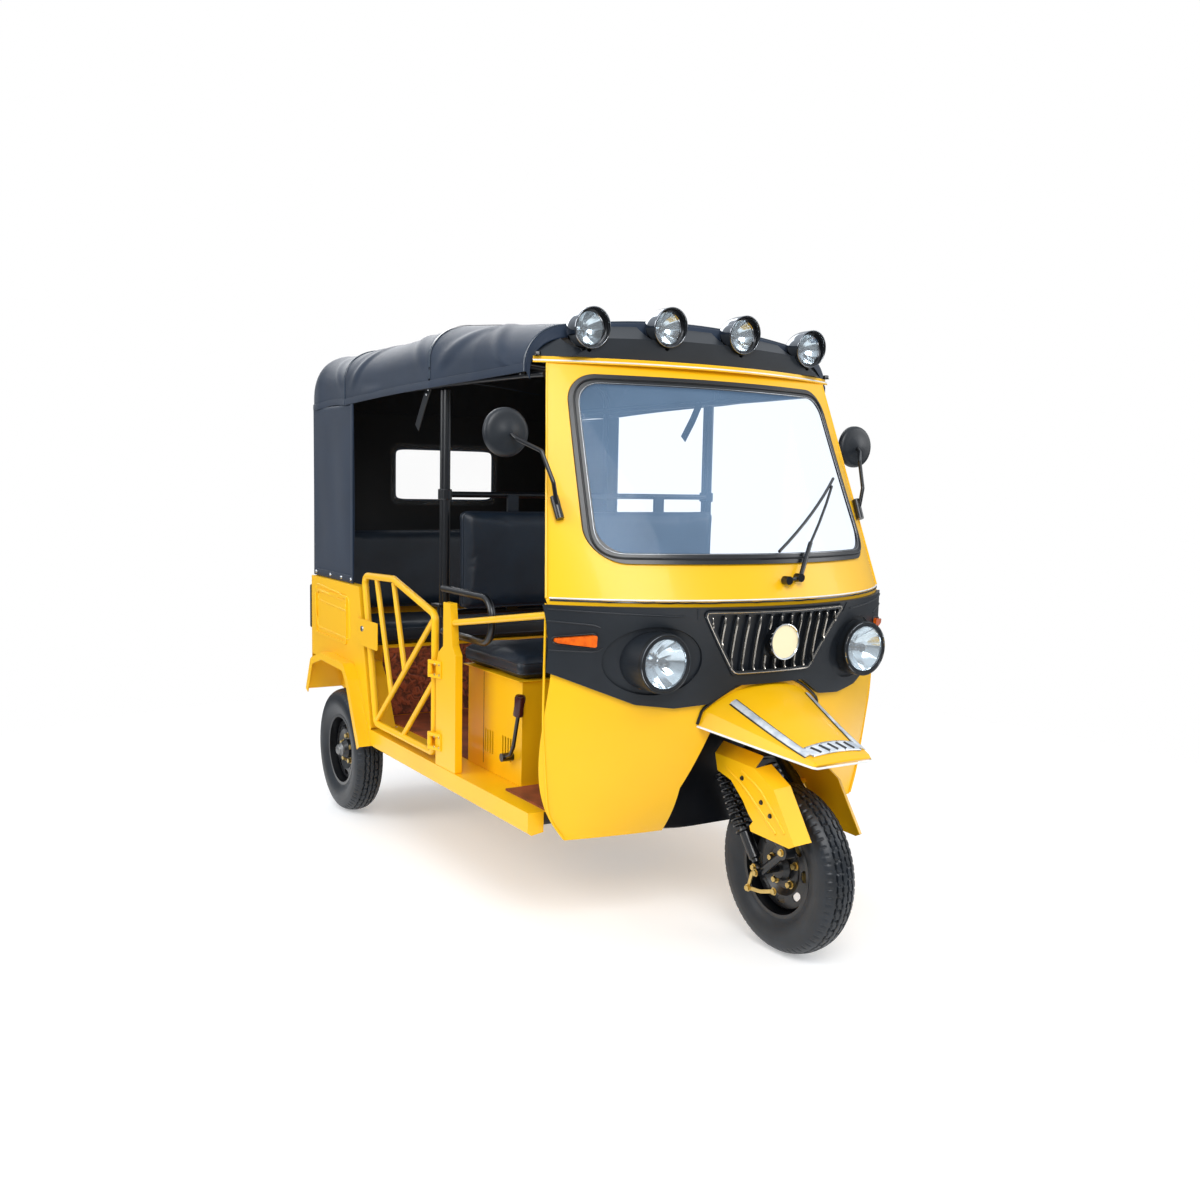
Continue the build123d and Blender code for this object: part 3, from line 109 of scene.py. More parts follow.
class RickshawColours(bpy.types.PropertyGroup):
    paint: colour_setting("Paint", "Colour of the baked body enamel", "#FBC00A")
    canvas: colour_setting("Canopy vinyl", "Colour of the coated canvas outside", "#16263A")
    seat: colour_setting("Seat vinyl", "Colour of the grained seat covers", "#131D29")
    mask: colour_setting("Mask", "Colour of the moulded nose mask", "#1A1F25")
    mat: colour_setting("Mat", "Colour of the ribbed floor mats", "#8A4527")


class RickshawSizes(bpy.types.PropertyGroup):
    groove: length_setting("Tread groove", "Depth of the grooves round each tyre", 0.006)
    piping: length_setting("Piping", "Diameter of the piping along the canopy seams", 0.007)
    wrinkle: length_setting("Wrinkle", "Height of the folds in the canopy", 0.007)
    pad_rise: length_setting("Pad rise", "How far the seat foam may swell", 0.011)
    canvas_wall: length_setting("Canvas", "Thickness drawn for the coated canvas", 0.002)


# --- shader nodes -------------------------------------------------------------------
def add_node(tree, kind, inputs=None, **settings):
    """Adds a node with its properties; inputs holds a value or a feeding socket for each input."""
    made = tree.nodes.new(kind)
    for key, value in settings.items():
        setattr(made, key, value)
    for key, value in (inputs or {}).items():
        if isinstance(value, bpy.types.NodeSocket):
            tree.links.new(value, made.inputs[key])
        else:
            made.inputs[key].default_value = value
    return made


def start_finish(name, colour, roughness, metallic=0.0, **constants):
    """Material with one Principled shader, its constants set on the shader's own sockets."""
    made = bpy.data.materials.new(name)
    made.use_nodes = True
    made.diffuse_color = colour
    shader = made.node_tree.nodes["Principled BSDF"]
    shader.inputs["Base Color"].default_value = colour
    shader.inputs["Roughness"].default_value = roughness
    shader.inputs["Metallic"].default_value = metallic
    for key, value in constants.items():
        shader.inputs[key.replace("_", " ")].default_value = value
    return made, made.node_tree, shader


def place_of(tree, stretch=(1, 1, 1)):
    """Object coordinates in metres, squeezed by stretch."""
    coordinates = add_node(tree, "ShaderNodeTexCoord")
    return add_node(tree, "ShaderNodeMapping", {"Vector": coordinates.outputs["Object"],
                                                "Scale": stretch}).outputs[0]


def mottle(tree, shader, dark, light, size_mm, low=0.35, high=0.65):
    """Blends two close colours in soft patches of a size in millimetres."""
    noise = add_node(tree, "ShaderNodeTexNoise", {"Vector": place_of(tree), "Scale": 1000 / size_mm,
                                                  "Detail": 3.0})
    share = add_node(tree, "ShaderNodeMapRange", {"Value": noise.outputs["Fac"], "From Min": low,
                                                  "From Max": high})
    blend = add_node(tree, "ShaderNodeMix", {0: share.outputs[0], 6: dark, 7: light}, data_type="RGBA")
    tree.links.new(blend.outputs[2], shader.inputs["Base Color"])


def raise_bumps(tree, shader, height, depth_mm, edge_mm=0.0):
    """Bump of a real depth; with edge_mm the sharp corners also look rounded by that radius."""
    bump = add_node(tree, "ShaderNodeBump", {"Height": height, "Distance": depth_mm / 1000})
    if edge_mm:
        edge = add_node(tree, "ShaderNodeBevel", {"Radius": edge_mm / 1000}, samples=4)
        tree.links.new(edge.outputs[0], bump.inputs["Normal"])
    tree.links.new(bump.outputs[0], shader.inputs["Normal"])


def speckle(tree, size_mm, stretch=(1, 1, 1)):
    """Fine noise with features of a size in millimetres."""
    return add_node(tree, "ShaderNodeTexNoise", {"Vector": place_of(tree, stretch), "Scale": 1000 / size_mm,
                                                 "Detail": 2.0}).outputs["Fac"]


# --- finishes -----------------------------------------------------------------------
def baked_enamel(colours):
    """Oven-baked gloss enamel on pressed steel: even colour, soft orange peel 5 mm across."""
    made, tree, shader = start_finish("Baked yellow enamel", colours.paint, 0.38, Specular_IOR_Level=0.38,
                                      Coat_Weight=0.14, Coat_Roughness=0.1)
    paint = np.array(colours.paint)
    mottle(tree, shader, tuple(paint * (0.95, 0.93, 0.9, 1)), tuple(paint), 420)
    raise_bumps(tree, shader, speckle(tree, 5), 0.05, 1.5)
    return made


def powder_coat(name, text, roughness):
    """Powder-coated steel tube: fine pebble 1.2 mm across, drawn a little coarse so that it shows."""
    made, tree, shader = start_finish(name, srgb(text), roughness, Coat_Weight=0.2, Coat_Roughness=0.2)
    mottle(tree, shader, srgb(text), tuple(np.array(srgb(text)) * (1.5, 1.5, 1.5, 1)), 60)
    raise_bumps(tree, shader, speckle(tree, 1.2), 0.05, 0.8)
    return made


def moulded_plastic(name, colour, roughness, grain_mm=1.1):
    """Injection-moulded plastic with a spark-eroded grain."""
    made, tree, shader = start_finish(name, colour, roughness, IOR=1.49)
    tint = np.array(colour)
    mottle(tree, shader, tuple(tint * (0.9, 0.9, 0.9, 1)), tuple(np.minimum(tint * (1.12, 1.12, 1.12, 1), 1)),
           90)
    raise_bumps(tree, shader, speckle(tree, grain_mm), 0.06, 1.0)
    return made


def coated_canvas(colours):
    """PVC-coated canvas: a 1.6 mm weave shows through the coat, which has a low greasy sheen."""
    made, tree, shader = start_finish("PVC coated canvas", colours.canvas, 0.5, Sheen_Weight=0.15,
                                      Sheen_Roughness=0.4, Specular_IOR_Level=0.34)
    tint = np.array(colours.canvas)
    mottle(tree, shader, tuple(tint * (0.9, 0.9, 0.9, 1)), tuple(np.minimum(tint * (1.1, 1.1, 1.1, 1), 1)),
           130)
    weave = [add_node(tree, "ShaderNodeTexWave", {"Vector": place_of(tree), "Scale": 1000 / 1.6 / 6.283},
                      bands_direction=way).outputs["Fac"] for way in ("Y", "DIAGONAL")]
    threads = add_node(tree, "ShaderNodeMath", {0: weave[0], 1: weave[1]}, operation="MULTIPLY")
    raise_bumps(tree, shader, threads.outputs[0], 0.12)
    return made


def canvas_lining(_):
    """Unlit woven back of the canopy cloth: matt black cotton."""
    made, tree, shader = start_finish("Black canvas lining", srgb("#0B0D10"), 0.9, Sheen_Weight=0.2)
    raise_bumps(tree, shader, speckle(tree, 2), 0.15)
    return made


def grained_vinyl(colours):
    """Embossed seat vinyl: leather grain of 3 mm cells with dark valleys under a satin coat."""
    made, tree, shader = start_finish("Grained seat vinyl", colours.seat, 0.42, Coat_Weight=0.1,
                                      Coat_Roughness=0.3, Specular_IOR_Level=0.4)
    tint = np.array(colours.seat)
    mottle(tree, shader, tuple(tint * (0.8, 0.8, 0.8, 1)), tuple(tint * (1.5, 1.5, 1.45, 1)), 180)
    cells = add_node(tree, "ShaderNodeTexVoronoi", {"Vector": place_of(tree), "Scale": 1000 / 3.0},
                     feature="DISTANCE_TO_EDGE")
    flat = add_node(tree, "ShaderNodeMapRange", {"Value": cells.outputs["Distance"], "From Max": 0.18})
    raise_bumps(tree, shader, flat.outputs[0], 0.12)
    return made


def ribbed_mat(colours):
    """Moulded rubber mat with ribs 6 mm apart running across the vehicle, its tone darker and lighter in
    patches 70 mm across.
    """
    made, tree, shader = start_finish("Ribbed mat rubber", colours.mat, 0.6)
    tint = np.array(colours.mat)
    mottle(tree, shader, tuple(tint * (0.7, 0.7, 0.7, 1)), tuple(np.minimum(tint * (1.25, 1.2, 1.2, 1), 1)),
           70)
    ribs = add_node(tree, "ShaderNodeTexWave", {"Vector": place_of(tree), "Scale": 1000 / 9 / 6.283 * 2},
                    bands_direction="Y")
    raise_bumps(tree, shader, ribs.outputs["Fac"], 0.8)
    return made


def rough_matting(colours):
    """Coarse embossed vinyl matting on the kick panel, its wavy cells 22 mm across; its hollows are darkened
    as painted shade and its crests lightened as painted highlight.
    """
    made, tree, shader = start_finish("Embossed matting", colours.mat, 0.5)
    tint = np.array(colours.mat)
    swirl = add_node(tree, "ShaderNodeTexNoise", {"Vector": place_of(tree), "Scale": 1000 / 26, "Detail": 2.0,
                                                  "Distortion": 1.4})
    share = add_node(tree, "ShaderNodeMapRange", {"Value": swirl.outputs["Fac"], "From Min": 0.4,
                                                  "From Max": 0.6})
    # painted shade and highlight: the colour follows the bump's height, near black in the hollows and pale on
    # the crests
    blend = add_node(tree, "ShaderNodeMix", {0: share.outputs[0], 6: tuple(tint * (0.35, 0.33, 0.33, 1)),
                                             7: tuple(np.minimum(tint * (1.3, 1.2, 1.2, 1), 1))},
                     data_type="RGBA")
    tree.links.new(blend.outputs[2], shader.inputs["Base Color"])
    raise_bumps(tree, shader, swirl.outputs["Fac"], 6.0)
    return made


def cream_roundel(_):
    """Cream stove enamel on the roundel's face; the rim behind it is black."""
    made, tree, shader = start_finish("Cream stove enamel", srgb("#FAEBC2"), 0.3)
    apart = add_node(tree, "ShaderNodeSeparateXYZ", {0: place_of(tree)})
    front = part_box("grille_badge")[0].y
    share = add_node(tree, "ShaderNodeMapRange", {"Value": apart.outputs["Y"], "From Min": front + 0.0005,
                                                  "From Max": front + 0.0015})
    blend = add_node(tree, "ShaderNodeMix", {0: share.outputs[0], 6: srgb("#FAEBC2"), 7: srgb("#0C0F13")},
                     data_type="RGBA")
    tree.links.new(blend.outputs[2], shader.inputs["Base Color"])
    raise_bumps(tree, shader, speckle(tree, 6), 0.04)
    return made


def metal(name, text, roughness, grain_mm=3.0, depth_mm=0.01, dark=0.85):
    """Bare or plated metal: full metallic, its tone drifting with the polish."""
    made, tree, shader = start_finish(name, srgb(text), roughness, 1.0)
    tint = np.array(srgb(text))
    mottle(tree, shader, tuple(tint * (dark, dark, dark, 1)), tuple(tint), 25)
    raise_bumps(tree, shader, speckle(tree, grain_mm), depth_mm)
    return made


def strip_with_painted_reflection(_):
    """Bright strip: half mirror, half a pale diffuse colour that is painted reflection and keeps the strip
    bright whatever it mirrors; its grain 3 mm long drawn coarse.
    """
    # painted reflection: metallic is only a half, so the pale base colour shows as if bright sky were
    # mirrored
    made, tree, shader = start_finish("Satin anodised aluminium", srgb("#DDE3EA"), 0.28, 0.5)
    mottle(tree, shader, srgb("#C2CBD6"), srgb("#F2F5F8"), 30)
    raise_bumps(tree, shader, speckle(tree, 3), 0.02)
    return made


def rubber(name, text, roughness, grain_mm=2.5):
    """Moulded rubber: near black with a faint grey bloom and a fine skin texture."""
    made, tree, shader = start_finish(name, srgb(text), roughness, IOR=1.52)
    tint = np.array(srgb(text))
    mottle(tree, shader, tuple(tint * (0.75, 0.75, 0.75, 1)), tuple(np.minimum(tint * (1.5, 1.5, 1.5, 1), 1)),
           45)
    raise_bumps(tree, shader, speckle(tree, grain_mm), 0.08, 0.8)
    return made


def clear_sheet(name, tint, veil, veil_share, roughness, sky="#000000"):
    """Thin clear sheet: light passes straight through, tinted, under a pale veil of painted reflection: a
    diffuse veil colour and a glow in the sky colour stand in for the sky mirrored in the sheet.
    """
    # painted reflection: the veil is a diffuse colour and the emission glows in the sky colour, standing in
    # for mirrored sky
    made, tree, shader = start_finish(name, srgb(veil), roughness, Emission_Color=srgb(sky),
                                      Emission_Strength=2.0)
    through = add_node(tree, "ShaderNodeBsdfTransparent", {"Color": srgb(tint)})
    # the painted reflection is stronger and weaker in patches 400 mm across
    ripple = speckle(tree, 400)
    share = add_node(tree, "ShaderNodeMapRange", {"Value": ripple, "From Min": 0.3, "From Max": 0.7,
                                                  "To Min": veil_share * 0.75, "To Max": veil_share * 1.25})
    mix = add_node(tree, "ShaderNodeMixShader", {0: share.outputs[0], 1: through.outputs[0],
                                                 2: shader.outputs[0]})
    tree.links.new(mix.outputs[0], tree.nodes["Material Output"].inputs["Surface"])
    return made


def coloured_lens(name, text, glow):
    """Ribbed acrylic lens: saturated, with 4 mm prisms; its faint glow is painted light, as no bulb behind it
    is lit.
    """
    # painted light: the lens glows in its own colour though no lamp behind it is on
    made, tree, shader = start_finish(name, srgb(text), 0.18, Coat_Weight=0.6, Coat_Roughness=0.05,
                                      Emission_Color=srgb(text), Emission_Strength=glow)
    mottle(tree, shader, tuple(np.array(srgb(text)) * (0.7, 0.6, 0.6, 1)), srgb(text), 20)
    ribs = add_node(tree, "ShaderNodeTexWave", {"Vector": place_of(tree), "Scale": 1000 / 4 / 6.283},
                    bands_direction="X")
    raise_bumps(tree, shader, ribs.outputs["Fac"], 0.3)
    return made


FINISHES = {
    "yellow_paint": baked_enamel,
    "black_frame_paint": lambda c: powder_coat("Black powder coat", "#0A0C10", 0.28),
    "black_rim_paint": lambda c: powder_coat("Black wheel paint", "#0A0B0E", 0.33),
    "spring_steel": lambda c: metal("Scaled spring steel", "#3A3A3C", 0.55, 6, 0.1),
    "black_spring": lambda c: powder_coat("Black coil paint", "#101216", 0.22),
    "cast_alloy": lambda c: metal("Sand-cast alloy", "#8C8C8C", 0.5, 2.5, 0.2),
    "exhaust_steel": lambda c: metal("Heat-tinted exhaust steel", "#6F6862", 0.45, 8, 0.05, 0.6),
    "black_plastic": lambda c: moulded_plastic("Black moulded nylon", srgb("#121416"), 0.42),
    "charcoal_plastic": lambda c: moulded_plastic("Charcoal moulded ABS", c.mask, 0.42),
    "zinc_plate": lambda c: metal("Yellow zinc plate", "#D9BC76", 0.32, 4, 0.02, 0.75),
    "black_rubber": lambda c: rubber("Extruded sealing rubber", "#090C10", 0.3),
    "brown_rubber": ribbed_mat,
    "kick_matting": rough_matting,
    # pale blue veil and sky-blue glow on the screen: painted reflection of the sky
    "clear_glass": lambda c: clear_sheet("Laminated screen glass", "#FDFEFF", "#A5C3E0", 0.07, 0.03,
                                         "#93B9E4"),
    # white veil on the lamp glass: painted reflection
    "lamp_glass": lambda c: clear_sheet("Pressed lamp glass", "#F4F8FA", "#FFFFFF", 0.08, 0.02),
    "cream_enamel": cream_roundel,
    # the faint glows of the amber and red lenses are painted light
    "amber_lens": lambda c: coloured_lens("Amber acrylic lens", "#F06A0C", 0.12),
    "red_lens": lambda c: coloured_lens("Red acrylic lens", "#A80C0C", 0.05),
    "chrome_shell": lambda c: metal("Chrome plate", "#D4D7DB", 0.07, 30, 0.02, 0.95),
    "reflector": lambda c: metal("Vapour-plated reflector", "#F6F8FA", 0.12, 12, 0.05, 0.9),
    "bright_trim": lambda c: moulded_plastic("White PVC trim", srgb("#E8E9E6"), 0.3, 4),
    "navy_vinyl": coated_canvas,
    "lining": canvas_lining,
    # pale veil on the window vinyl: painted reflection
    "clear_vinyl": lambda c: clear_sheet("Clear PVC window", "#FFFFFF", "#F2F5F6", 0.02, 0.08),
    "black_vinyl": grained_vinyl,
    "road_tyre": lambda c: rubber("Tyre rubber", "#0D131A", 0.44, 4),
    "maroon_knob": lambda c: moulded_plastic("Maroon phenolic", srgb("#3E1216"), 0.25, 5),
    "steel_rod": lambda c: metal("Bright drawn steel", "#A9ACB0", 0.25, 5, 0.01),
    # beak strips and plate: half mirror, half pale painted reflection
    "satin_chrome": strip_with_painted_reflection,
    "grille_bronze": lambda c: metal("Bronze-tinted chrome", "#C9C2B8", 0.2, 6, 0.02, 0.8),
    # the roof lamp shells' chrome is darker in colour than plate: painted reflection of dark surroundings
    "dark_chrome": lambda c: metal("Smoked chrome", "#8E9298", 0.06, 30, 0.02, 0.9),
    "seat_piping": lambda c: moulded_plastic("Sewn welt PVC", c.seat, 0.38, 4),
    # canopy piping paler than the canvas: painted highlight for the light its round edge catches; the low
    # roughness gives it a real sheen
    "satin_piping": lambda c: moulded_plastic("Satin PVC piping", srgb("#2A3644"), 0.22, 4),
}


def finish(name):
    """The material of a finish, made the first time that it is asked for."""
    key = f"finish {name}"
    for made in bpy.data.materials:
        if made.get("finish") == key:
            return made
    made = FINISHES[name](bpy.context.scene.rickshaw_colours)
    made["finish"] = key
    return made


# --- meshes -------------------------------------------------------------------------
def put(name, points, faces, surface, body="body", sharp=35, inward=None, replaced=()):
    """Puts points and faces, a list of index rows, into a piece that rides on a body."""
    mesh = bpy.data.meshes.new(name)
    mesh.from_pydata(np.asarray(points, float).tolist(), [], [list(map(int, face)) for face in faces])
    mesh.polygons.foreach_set("use_smooth", np.ones(len(mesh.polygons), bool))
    mesh.set_sharp_from_angle(angle=math.radians(sharp))
    mesh.materials.append(finish(surface))
    piece = bpy.data.objects.new(name, mesh)
    bpy.context.collection.objects.link(piece)
    if inward:
        mesh.materials.append(finish(inward))
    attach(piece, body)
    if replaced:
        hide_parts(*replaced)
    return piece


def grid(rows, columns, close_rows=False, close_columns=False):
    """Quads joining each point of a rows by columns grid to its neighbours."""
    r, c = np.meshgrid(np.arange(rows if close_rows else rows - 1),
                       np.arange(columns if close_columns else columns - 1), indexing="ij")
    r2, c2 = (r + 1) % rows, (c + 1) % columns
    return np.stack([r * columns + c, r * columns + c2, r2 * columns + c2, r2 * columns + c], -1).reshape(-1,
                                                                                                          4)


def turned(profile, centre, axis, count=48, close=False):
    """A profile of (place along the axis, radius) turned: centre + along * axis + radius * (cos a, sin a)."""
    profile, axis = np.asarray(profile, float), unit(axis)
    side = unit(np.cross(axis, (0, 0, 1) if abs(axis[2]) < 0.9 else (0, 1, 0)))
    up = np.cross(side, axis)
    angle = np.linspace(0, 2 * np.pi, count, endpoint=False)
    ring = np.cos(angle)[:, None] * side + np.sin(angle)[:, None] * up
    points = np.asarray(centre) + profile[:, None, :1] * axis + profile[:, None, 1:] * ring[None]
    return points.reshape(-1, 3), grid(len(profile), count, close, True)


def carried(path, profile, up=(0, 0, 1), close=False, loop=True):
    """A profile of (across, out) carried along a path: out follows up as far as it is square to the path."""
    path, profile = np.asarray(path, float), np.asarray(profile, float)
    along = np.roll(path, -1, 0) - np.roll(path, 1, 0) if close else np.gradient(path, axis=0)
    along = unit(along)
    across = unit(np.cross(along, np.broadcast_to(up, path.shape)))
    out = np.cross(across, along)
    points = path[:, None] + across[:, None] * profile[None, :, :1] + out[:, None] * profile[None, :, 1:]
    faces = grid(len(path), len(profile), close, loop).tolist()
    if loop and not close:
        last = (len(path) - 1) * len(profile)
        faces += [list(range(len(profile)))[::-1], list(range(last, last + len(profile)))]
    return points.reshape(-1, 3), faces


def circle(diameter, count=10):
    """Round profile: radius times the cosine and sine of evenly spaced angles."""
    angle = np.linspace(0, 2 * np.pi, count, endpoint=False)
    return diameter / 2 * np.stack([np.cos(angle), np.sin(angle)], 1)


def strip(width, height, crown=0.0):
    """Flat-bottomed strip profile whose top is a low arch: height plus crown times 1 - s squared."""
    s = np.linspace(-1, 1, 7)
    top = np.stack([s * width / 2 * 0.96, height + crown * (1 - s ** 2)], 1)
    return np.concatenate([[(-width / 2, 0)], [(-width / 2, height * 0.6)], top, [(width / 2, height * 0.6)],
                           [(width / 2, 0)]])


def eased(corners, radius, steps=7, close=False):
    """Polyline with each corner replaced by the parabola that touches its runs at a distance of radius."""
    corners = np.asarray(corners, float)
    mid = corners if close else corners[1:-1]
    before = np.roll(corners, 1, 0) if close else corners[:-2]
    after = np.roll(corners, -1, 0) if close else corners[2:]
    reach = np.minimum(radius, 0.45 * np.minimum(np.linalg.norm(before - mid, axis=1),
                                                 np.linalg.norm(after - mid, axis=1)))[:, None]
    start, end = mid + unit(before - mid) * reach, mid + unit(after - mid) * reach
    t = np.linspace(0, 1, steps)[None, :, None]
    arcs = ((1 - t) ** 2 * start[:, None] + 2 * t * (1 - t) * mid[:, None] + t ** 2 * end[:, None])
    arcs = arcs.reshape(-1, corners.shape[1])
    return arcs if close else np.concatenate([corners[:1], arcs, corners[-1:]])


def evened(points, spacing, close=False):
    """The same polyline with points an even distance apart."""
    points = np.asarray(points, float)
    if close:
        points = np.concatenate([points, points[:1]])
    run = np.concatenate([[0], np.cumsum(np.linalg.norm(np.diff(points, axis=0), axis=1))])
    count = max(3, int(run[-1] / spacing))
    at = np.linspace(0, run[-1], count, endpoint=not close)
    return np.stack([np.interp(at, run, column) for column in points.T], 1)


def landed(nodes, starts, way, lift=0.0):
    """Where straight lines from the starts first meet the named nodes, and the faces' directions there.

    A line that meets none of them is an error, so that no piece is left hanging where it happens to end.
    """
    way = Vector(way)
    points, normals = [], []
    trees = [BVHTree.FromPolygons([v.co for v in frame["nodes"][n].data.vertices],
                                  [p.vertices[:] for p in frame["nodes"][n].data.polygons]) for n in nodes]
    for start in starts:
        hits = [hit for hit in (tree.ray_cast(Vector(start), way) for tree in trees) if hit[0] is not None]
        if not hits:
            raise ValueError(f"no face of {', '.join(nodes)} lies ahead of {tuple(start)}")
        place, normal = min(hits, key=lambda hit: hit[3])[:2]
        points.append(place + normal * lift)
        normals.append(normal)
    return np.array(points), np.array(normals)


def frame_at(place, out, up=(0, 0, 1)):
    """4 by 4 place of a small part: its local z points out and its local y follows up."""
    out = unit(out)
    across = unit(np.cross(up, out))
    made = np.eye(4)
    made[:3, 0], made[:3, 1], made[:3, 2], made[:3, 3] = across, np.cross(out, across), out, place
    return made


def repeated(points, faces, places):
    """Copies of one small shape as one mesh, each turned and moved by its place."""
    places, points = np.asarray(places), np.asarray(points, float)
    moved = np.einsum("pij,nj->pni", places[:, :3, :3], points) + places[:, None, :3, 3]
    rows = [[i + k * len(points) for i in face] for k in range(len(places)) for face in faces]
    return moved.reshape(-1, 3), rows


def joined(*shapes):
    """Several (points, faces) shapes as one."""
    points, faces, start = [], [], 0
    for shape_points, shape_faces in shapes:
        points.append(np.asarray(shape_points, float))
        faces += [[int(i) + start for i in face] for face in shape_faces]
        start += len(shape_points)
    return np.concatenate(points), faces


def hex_head(width, height):
    """Hexagon bolt head on a washer: six-sided rings at washer, foot, chamfer and top."""
    ring = np.linspace(0, 2 * np.pi, 12, endpoint=False)
    hexagon = 1 / np.cos((ring + np.pi / 6) % (np.pi / 3) - np.pi / 6) / 2
    rows = [(0.62, 0.0, 1), (0.62, 0.18, 1), (1.0, 0.18, 0), (1.0, 0.85, 0), (0.86, 1.0, 0), (0.05, 1.0, 0)]
    points = [np.stack([width * (0.72 if round_it else share * hexagon) * np.cos(ring),
                        width * (0.72 if round_it else share * hexagon) * np.sin(ring),
                        np.full(12, height * rise)], 1) for share, rise, round_it in rows]
    return np.concatenate(points), grid(len(rows), 12, False, True).tolist()


def screw_head(width, height):
    """Low domed screw head: rings of a spherical cap."""
    lean = np.linspace(0, np.pi / 2, 5)[:-1]
    profile = np.stack([height * np.sin(lean), width / 2 * np.cos(lean)], 1)
    profile = np.concatenate([profile, [(height, width / 40)]])
    points, faces = turned(profile, (0, 0, 0), (0, 0, 1), 12)
    return points, faces.tolist()


def thicken(piece, wall, offset=0.0, other_side=False):
    """Gives a sheet its thickness."""
    solid = piece.modifiers.new("Wall", "SOLIDIFY")
    solid.thickness, solid.offset = wall, offset
    if other_side:
        solid.material_offset = 1
    return piece


def smooth_more(piece, levels=1):
    rounder = piece.modifiers.new("Rounder", "SUBSURF")
    rounder.levels = rounder.render_levels = levels
    return piece


# --- carried-over solids --------------------------------------------------------------
class RICKSHAW_OT_finishes(bpy.types.Operator):
    """Give every solid that stays visible the finish of its material slot"""
    bl_idname = "rickshaw.finishes"
    bl_label = "Finish solids"

    def execute(self, context):
        slots = {row["node"]: row["material_slot"] for row in frame["record"]["subparts"]}
        slots["kick_panel"] = "kick_matting"
        for name, node in frame["nodes"].items():
            node.data.materials.clear()
            node.data.materials.append(finish(slots[name]))
        return {"FINISHED"}


# --- tyres --------------------------------------------------------------------------
class RICKSHAW_OT_tyres(bpy.types.Operator):
    """Build the three road tyres with their ribs, grooves and shoulder slots"""
    bl_idname = "rickshaw.tyres"
    bl_label = "Tyres"

    def execute(self, context):
        groove = context.scene.rickshaw_sizes.groove
        # outline from bead to bead: across, radius
        half = [(0.0385, 0.1315), (0.0415, 0.143), (0.049, 0.158), (0.0552, 0.178), (0.0555, 0.200),
                (0.051, 0.2165),
                (0.046, 0.2240), (0.030, 0.2345), (0.0, TYRE_RADIUS)]
        outline = np.array([(-a, r) for a, r in half] + [(a, r) for a, r in reversed(half[:-1])])
        outline = evened(eased(outline, 0.012), 0.0024)
        across, radius = outline.T
        angle = np.linspace(0, 2 * np.pi, 640, endpoint=False)[:, None]

        def trench(offset, width):
            """Groove section: 1 on its floor, falling to 0 over a fifth of its width."""
            return np.clip((width / 2 - np.abs(offset)) / (width * 0.2) + 0.5, 0, 1)

        a, r = across[None], radius[None]
        wave = 0.0012 * np.sin(angle * 48)
        depth = groove * trench(np.abs(a) - 0.0085 + wave, 0.0036)
        depth = np.maximum(depth, groove * trench(np.abs(a) - 0.0255 + wave, 0.0044))
        nick = np.clip(4 * np.sin(angle * 44 + np.sign(a) * 1.2) - 3, 0, 1) * trench(np.abs(a) - 0.0170,
                                                                                     0.009)
        depth = np.maximum(depth, 0.6 * groove * nick)
        slot = np.clip(4 * np.sin(angle * 64 + np.sign(a) * 1.6) - 2.6, 0, 1) * np.clip((r - 0.216) / 0.004,
                                                                                        0, 1)
        depth = np.maximum(depth, 0.45 * groove * slot * np.clip((np.abs(a) - 0.036) / 0.004, 0, 1))
        line = np.exp(-((r - 0.196) / 0.0012) ** 2) * 0.0009
        scale = 1 - (depth - line) / r
        for body, (node, _, centre, _) in WHEELS.items():
            ring = np.stack([np.broadcast_to(a * (1 - 0.4 * (depth - line) / r), depth.shape),
                             r * scale * np.cos(angle), r * scale * np.sin(angle)], -1)
            points = (ring + centre).reshape(-1, 3)
            put(f"{node}_tread", points, grid(640, len(across), True, False), "road_tyre", body, 40,
                replaced=(node,))
        return {"FINISHED"}


# --- canopy -------------------------------------------------------------------------
# bows that carry the cloth: y, half width, lower edge, shoulder and crown heights
CANOPY_BOWS = np.array([
    (-0.520, 0.561, 1.612, 1.751, 1.785),
    (-0.220, 0.585, 1.602, 1.780, 1.808),
    (0.085, 0.594, 1.596, 1.806, 1.832),
    (0.880, 0.595, 1.574, 1.788, 1.818),
    (1.205, 0.595, 1.570, 1.794, 1.824),
    (1.290, 0.595, 1.570, 1.794, 1.824),
])
CANOPY_SAG = (0.0, 0.002, 0.008, 0.015, 0.0)  # how far the cloth hangs in each bay
CANOPY_END_ROUND = 0.100  # radius in side view where the roof turns down at the back
# folds in the cloth: y and girth share of both ends, half width, height as a share of the wrinkle setting
CANOPY_FOLDS = [
    (0.84, 0.04, 0.56, 0.20, 0.030, 0.9), (0.83, 0.10, 0.66, 0.30, 0.024, 0.6),
    (0.12, 0.05, 0.40, 0.22, 0.040, 0.8), (0.05, 0.04, -0.25, 0.18, 0.040, 0.9),
    (-0.46, 0.03, -0.16, 0.22, 0.035, 0.7), (0.30, 0.22, 0.60, 0.36, 0.055, 0.5),
    (0.92, 0.05, 1.14, 0.18, 0.026, 0.8), (0.50, 0.02, 0.72, 0.03, 0.030, 0.6),
]


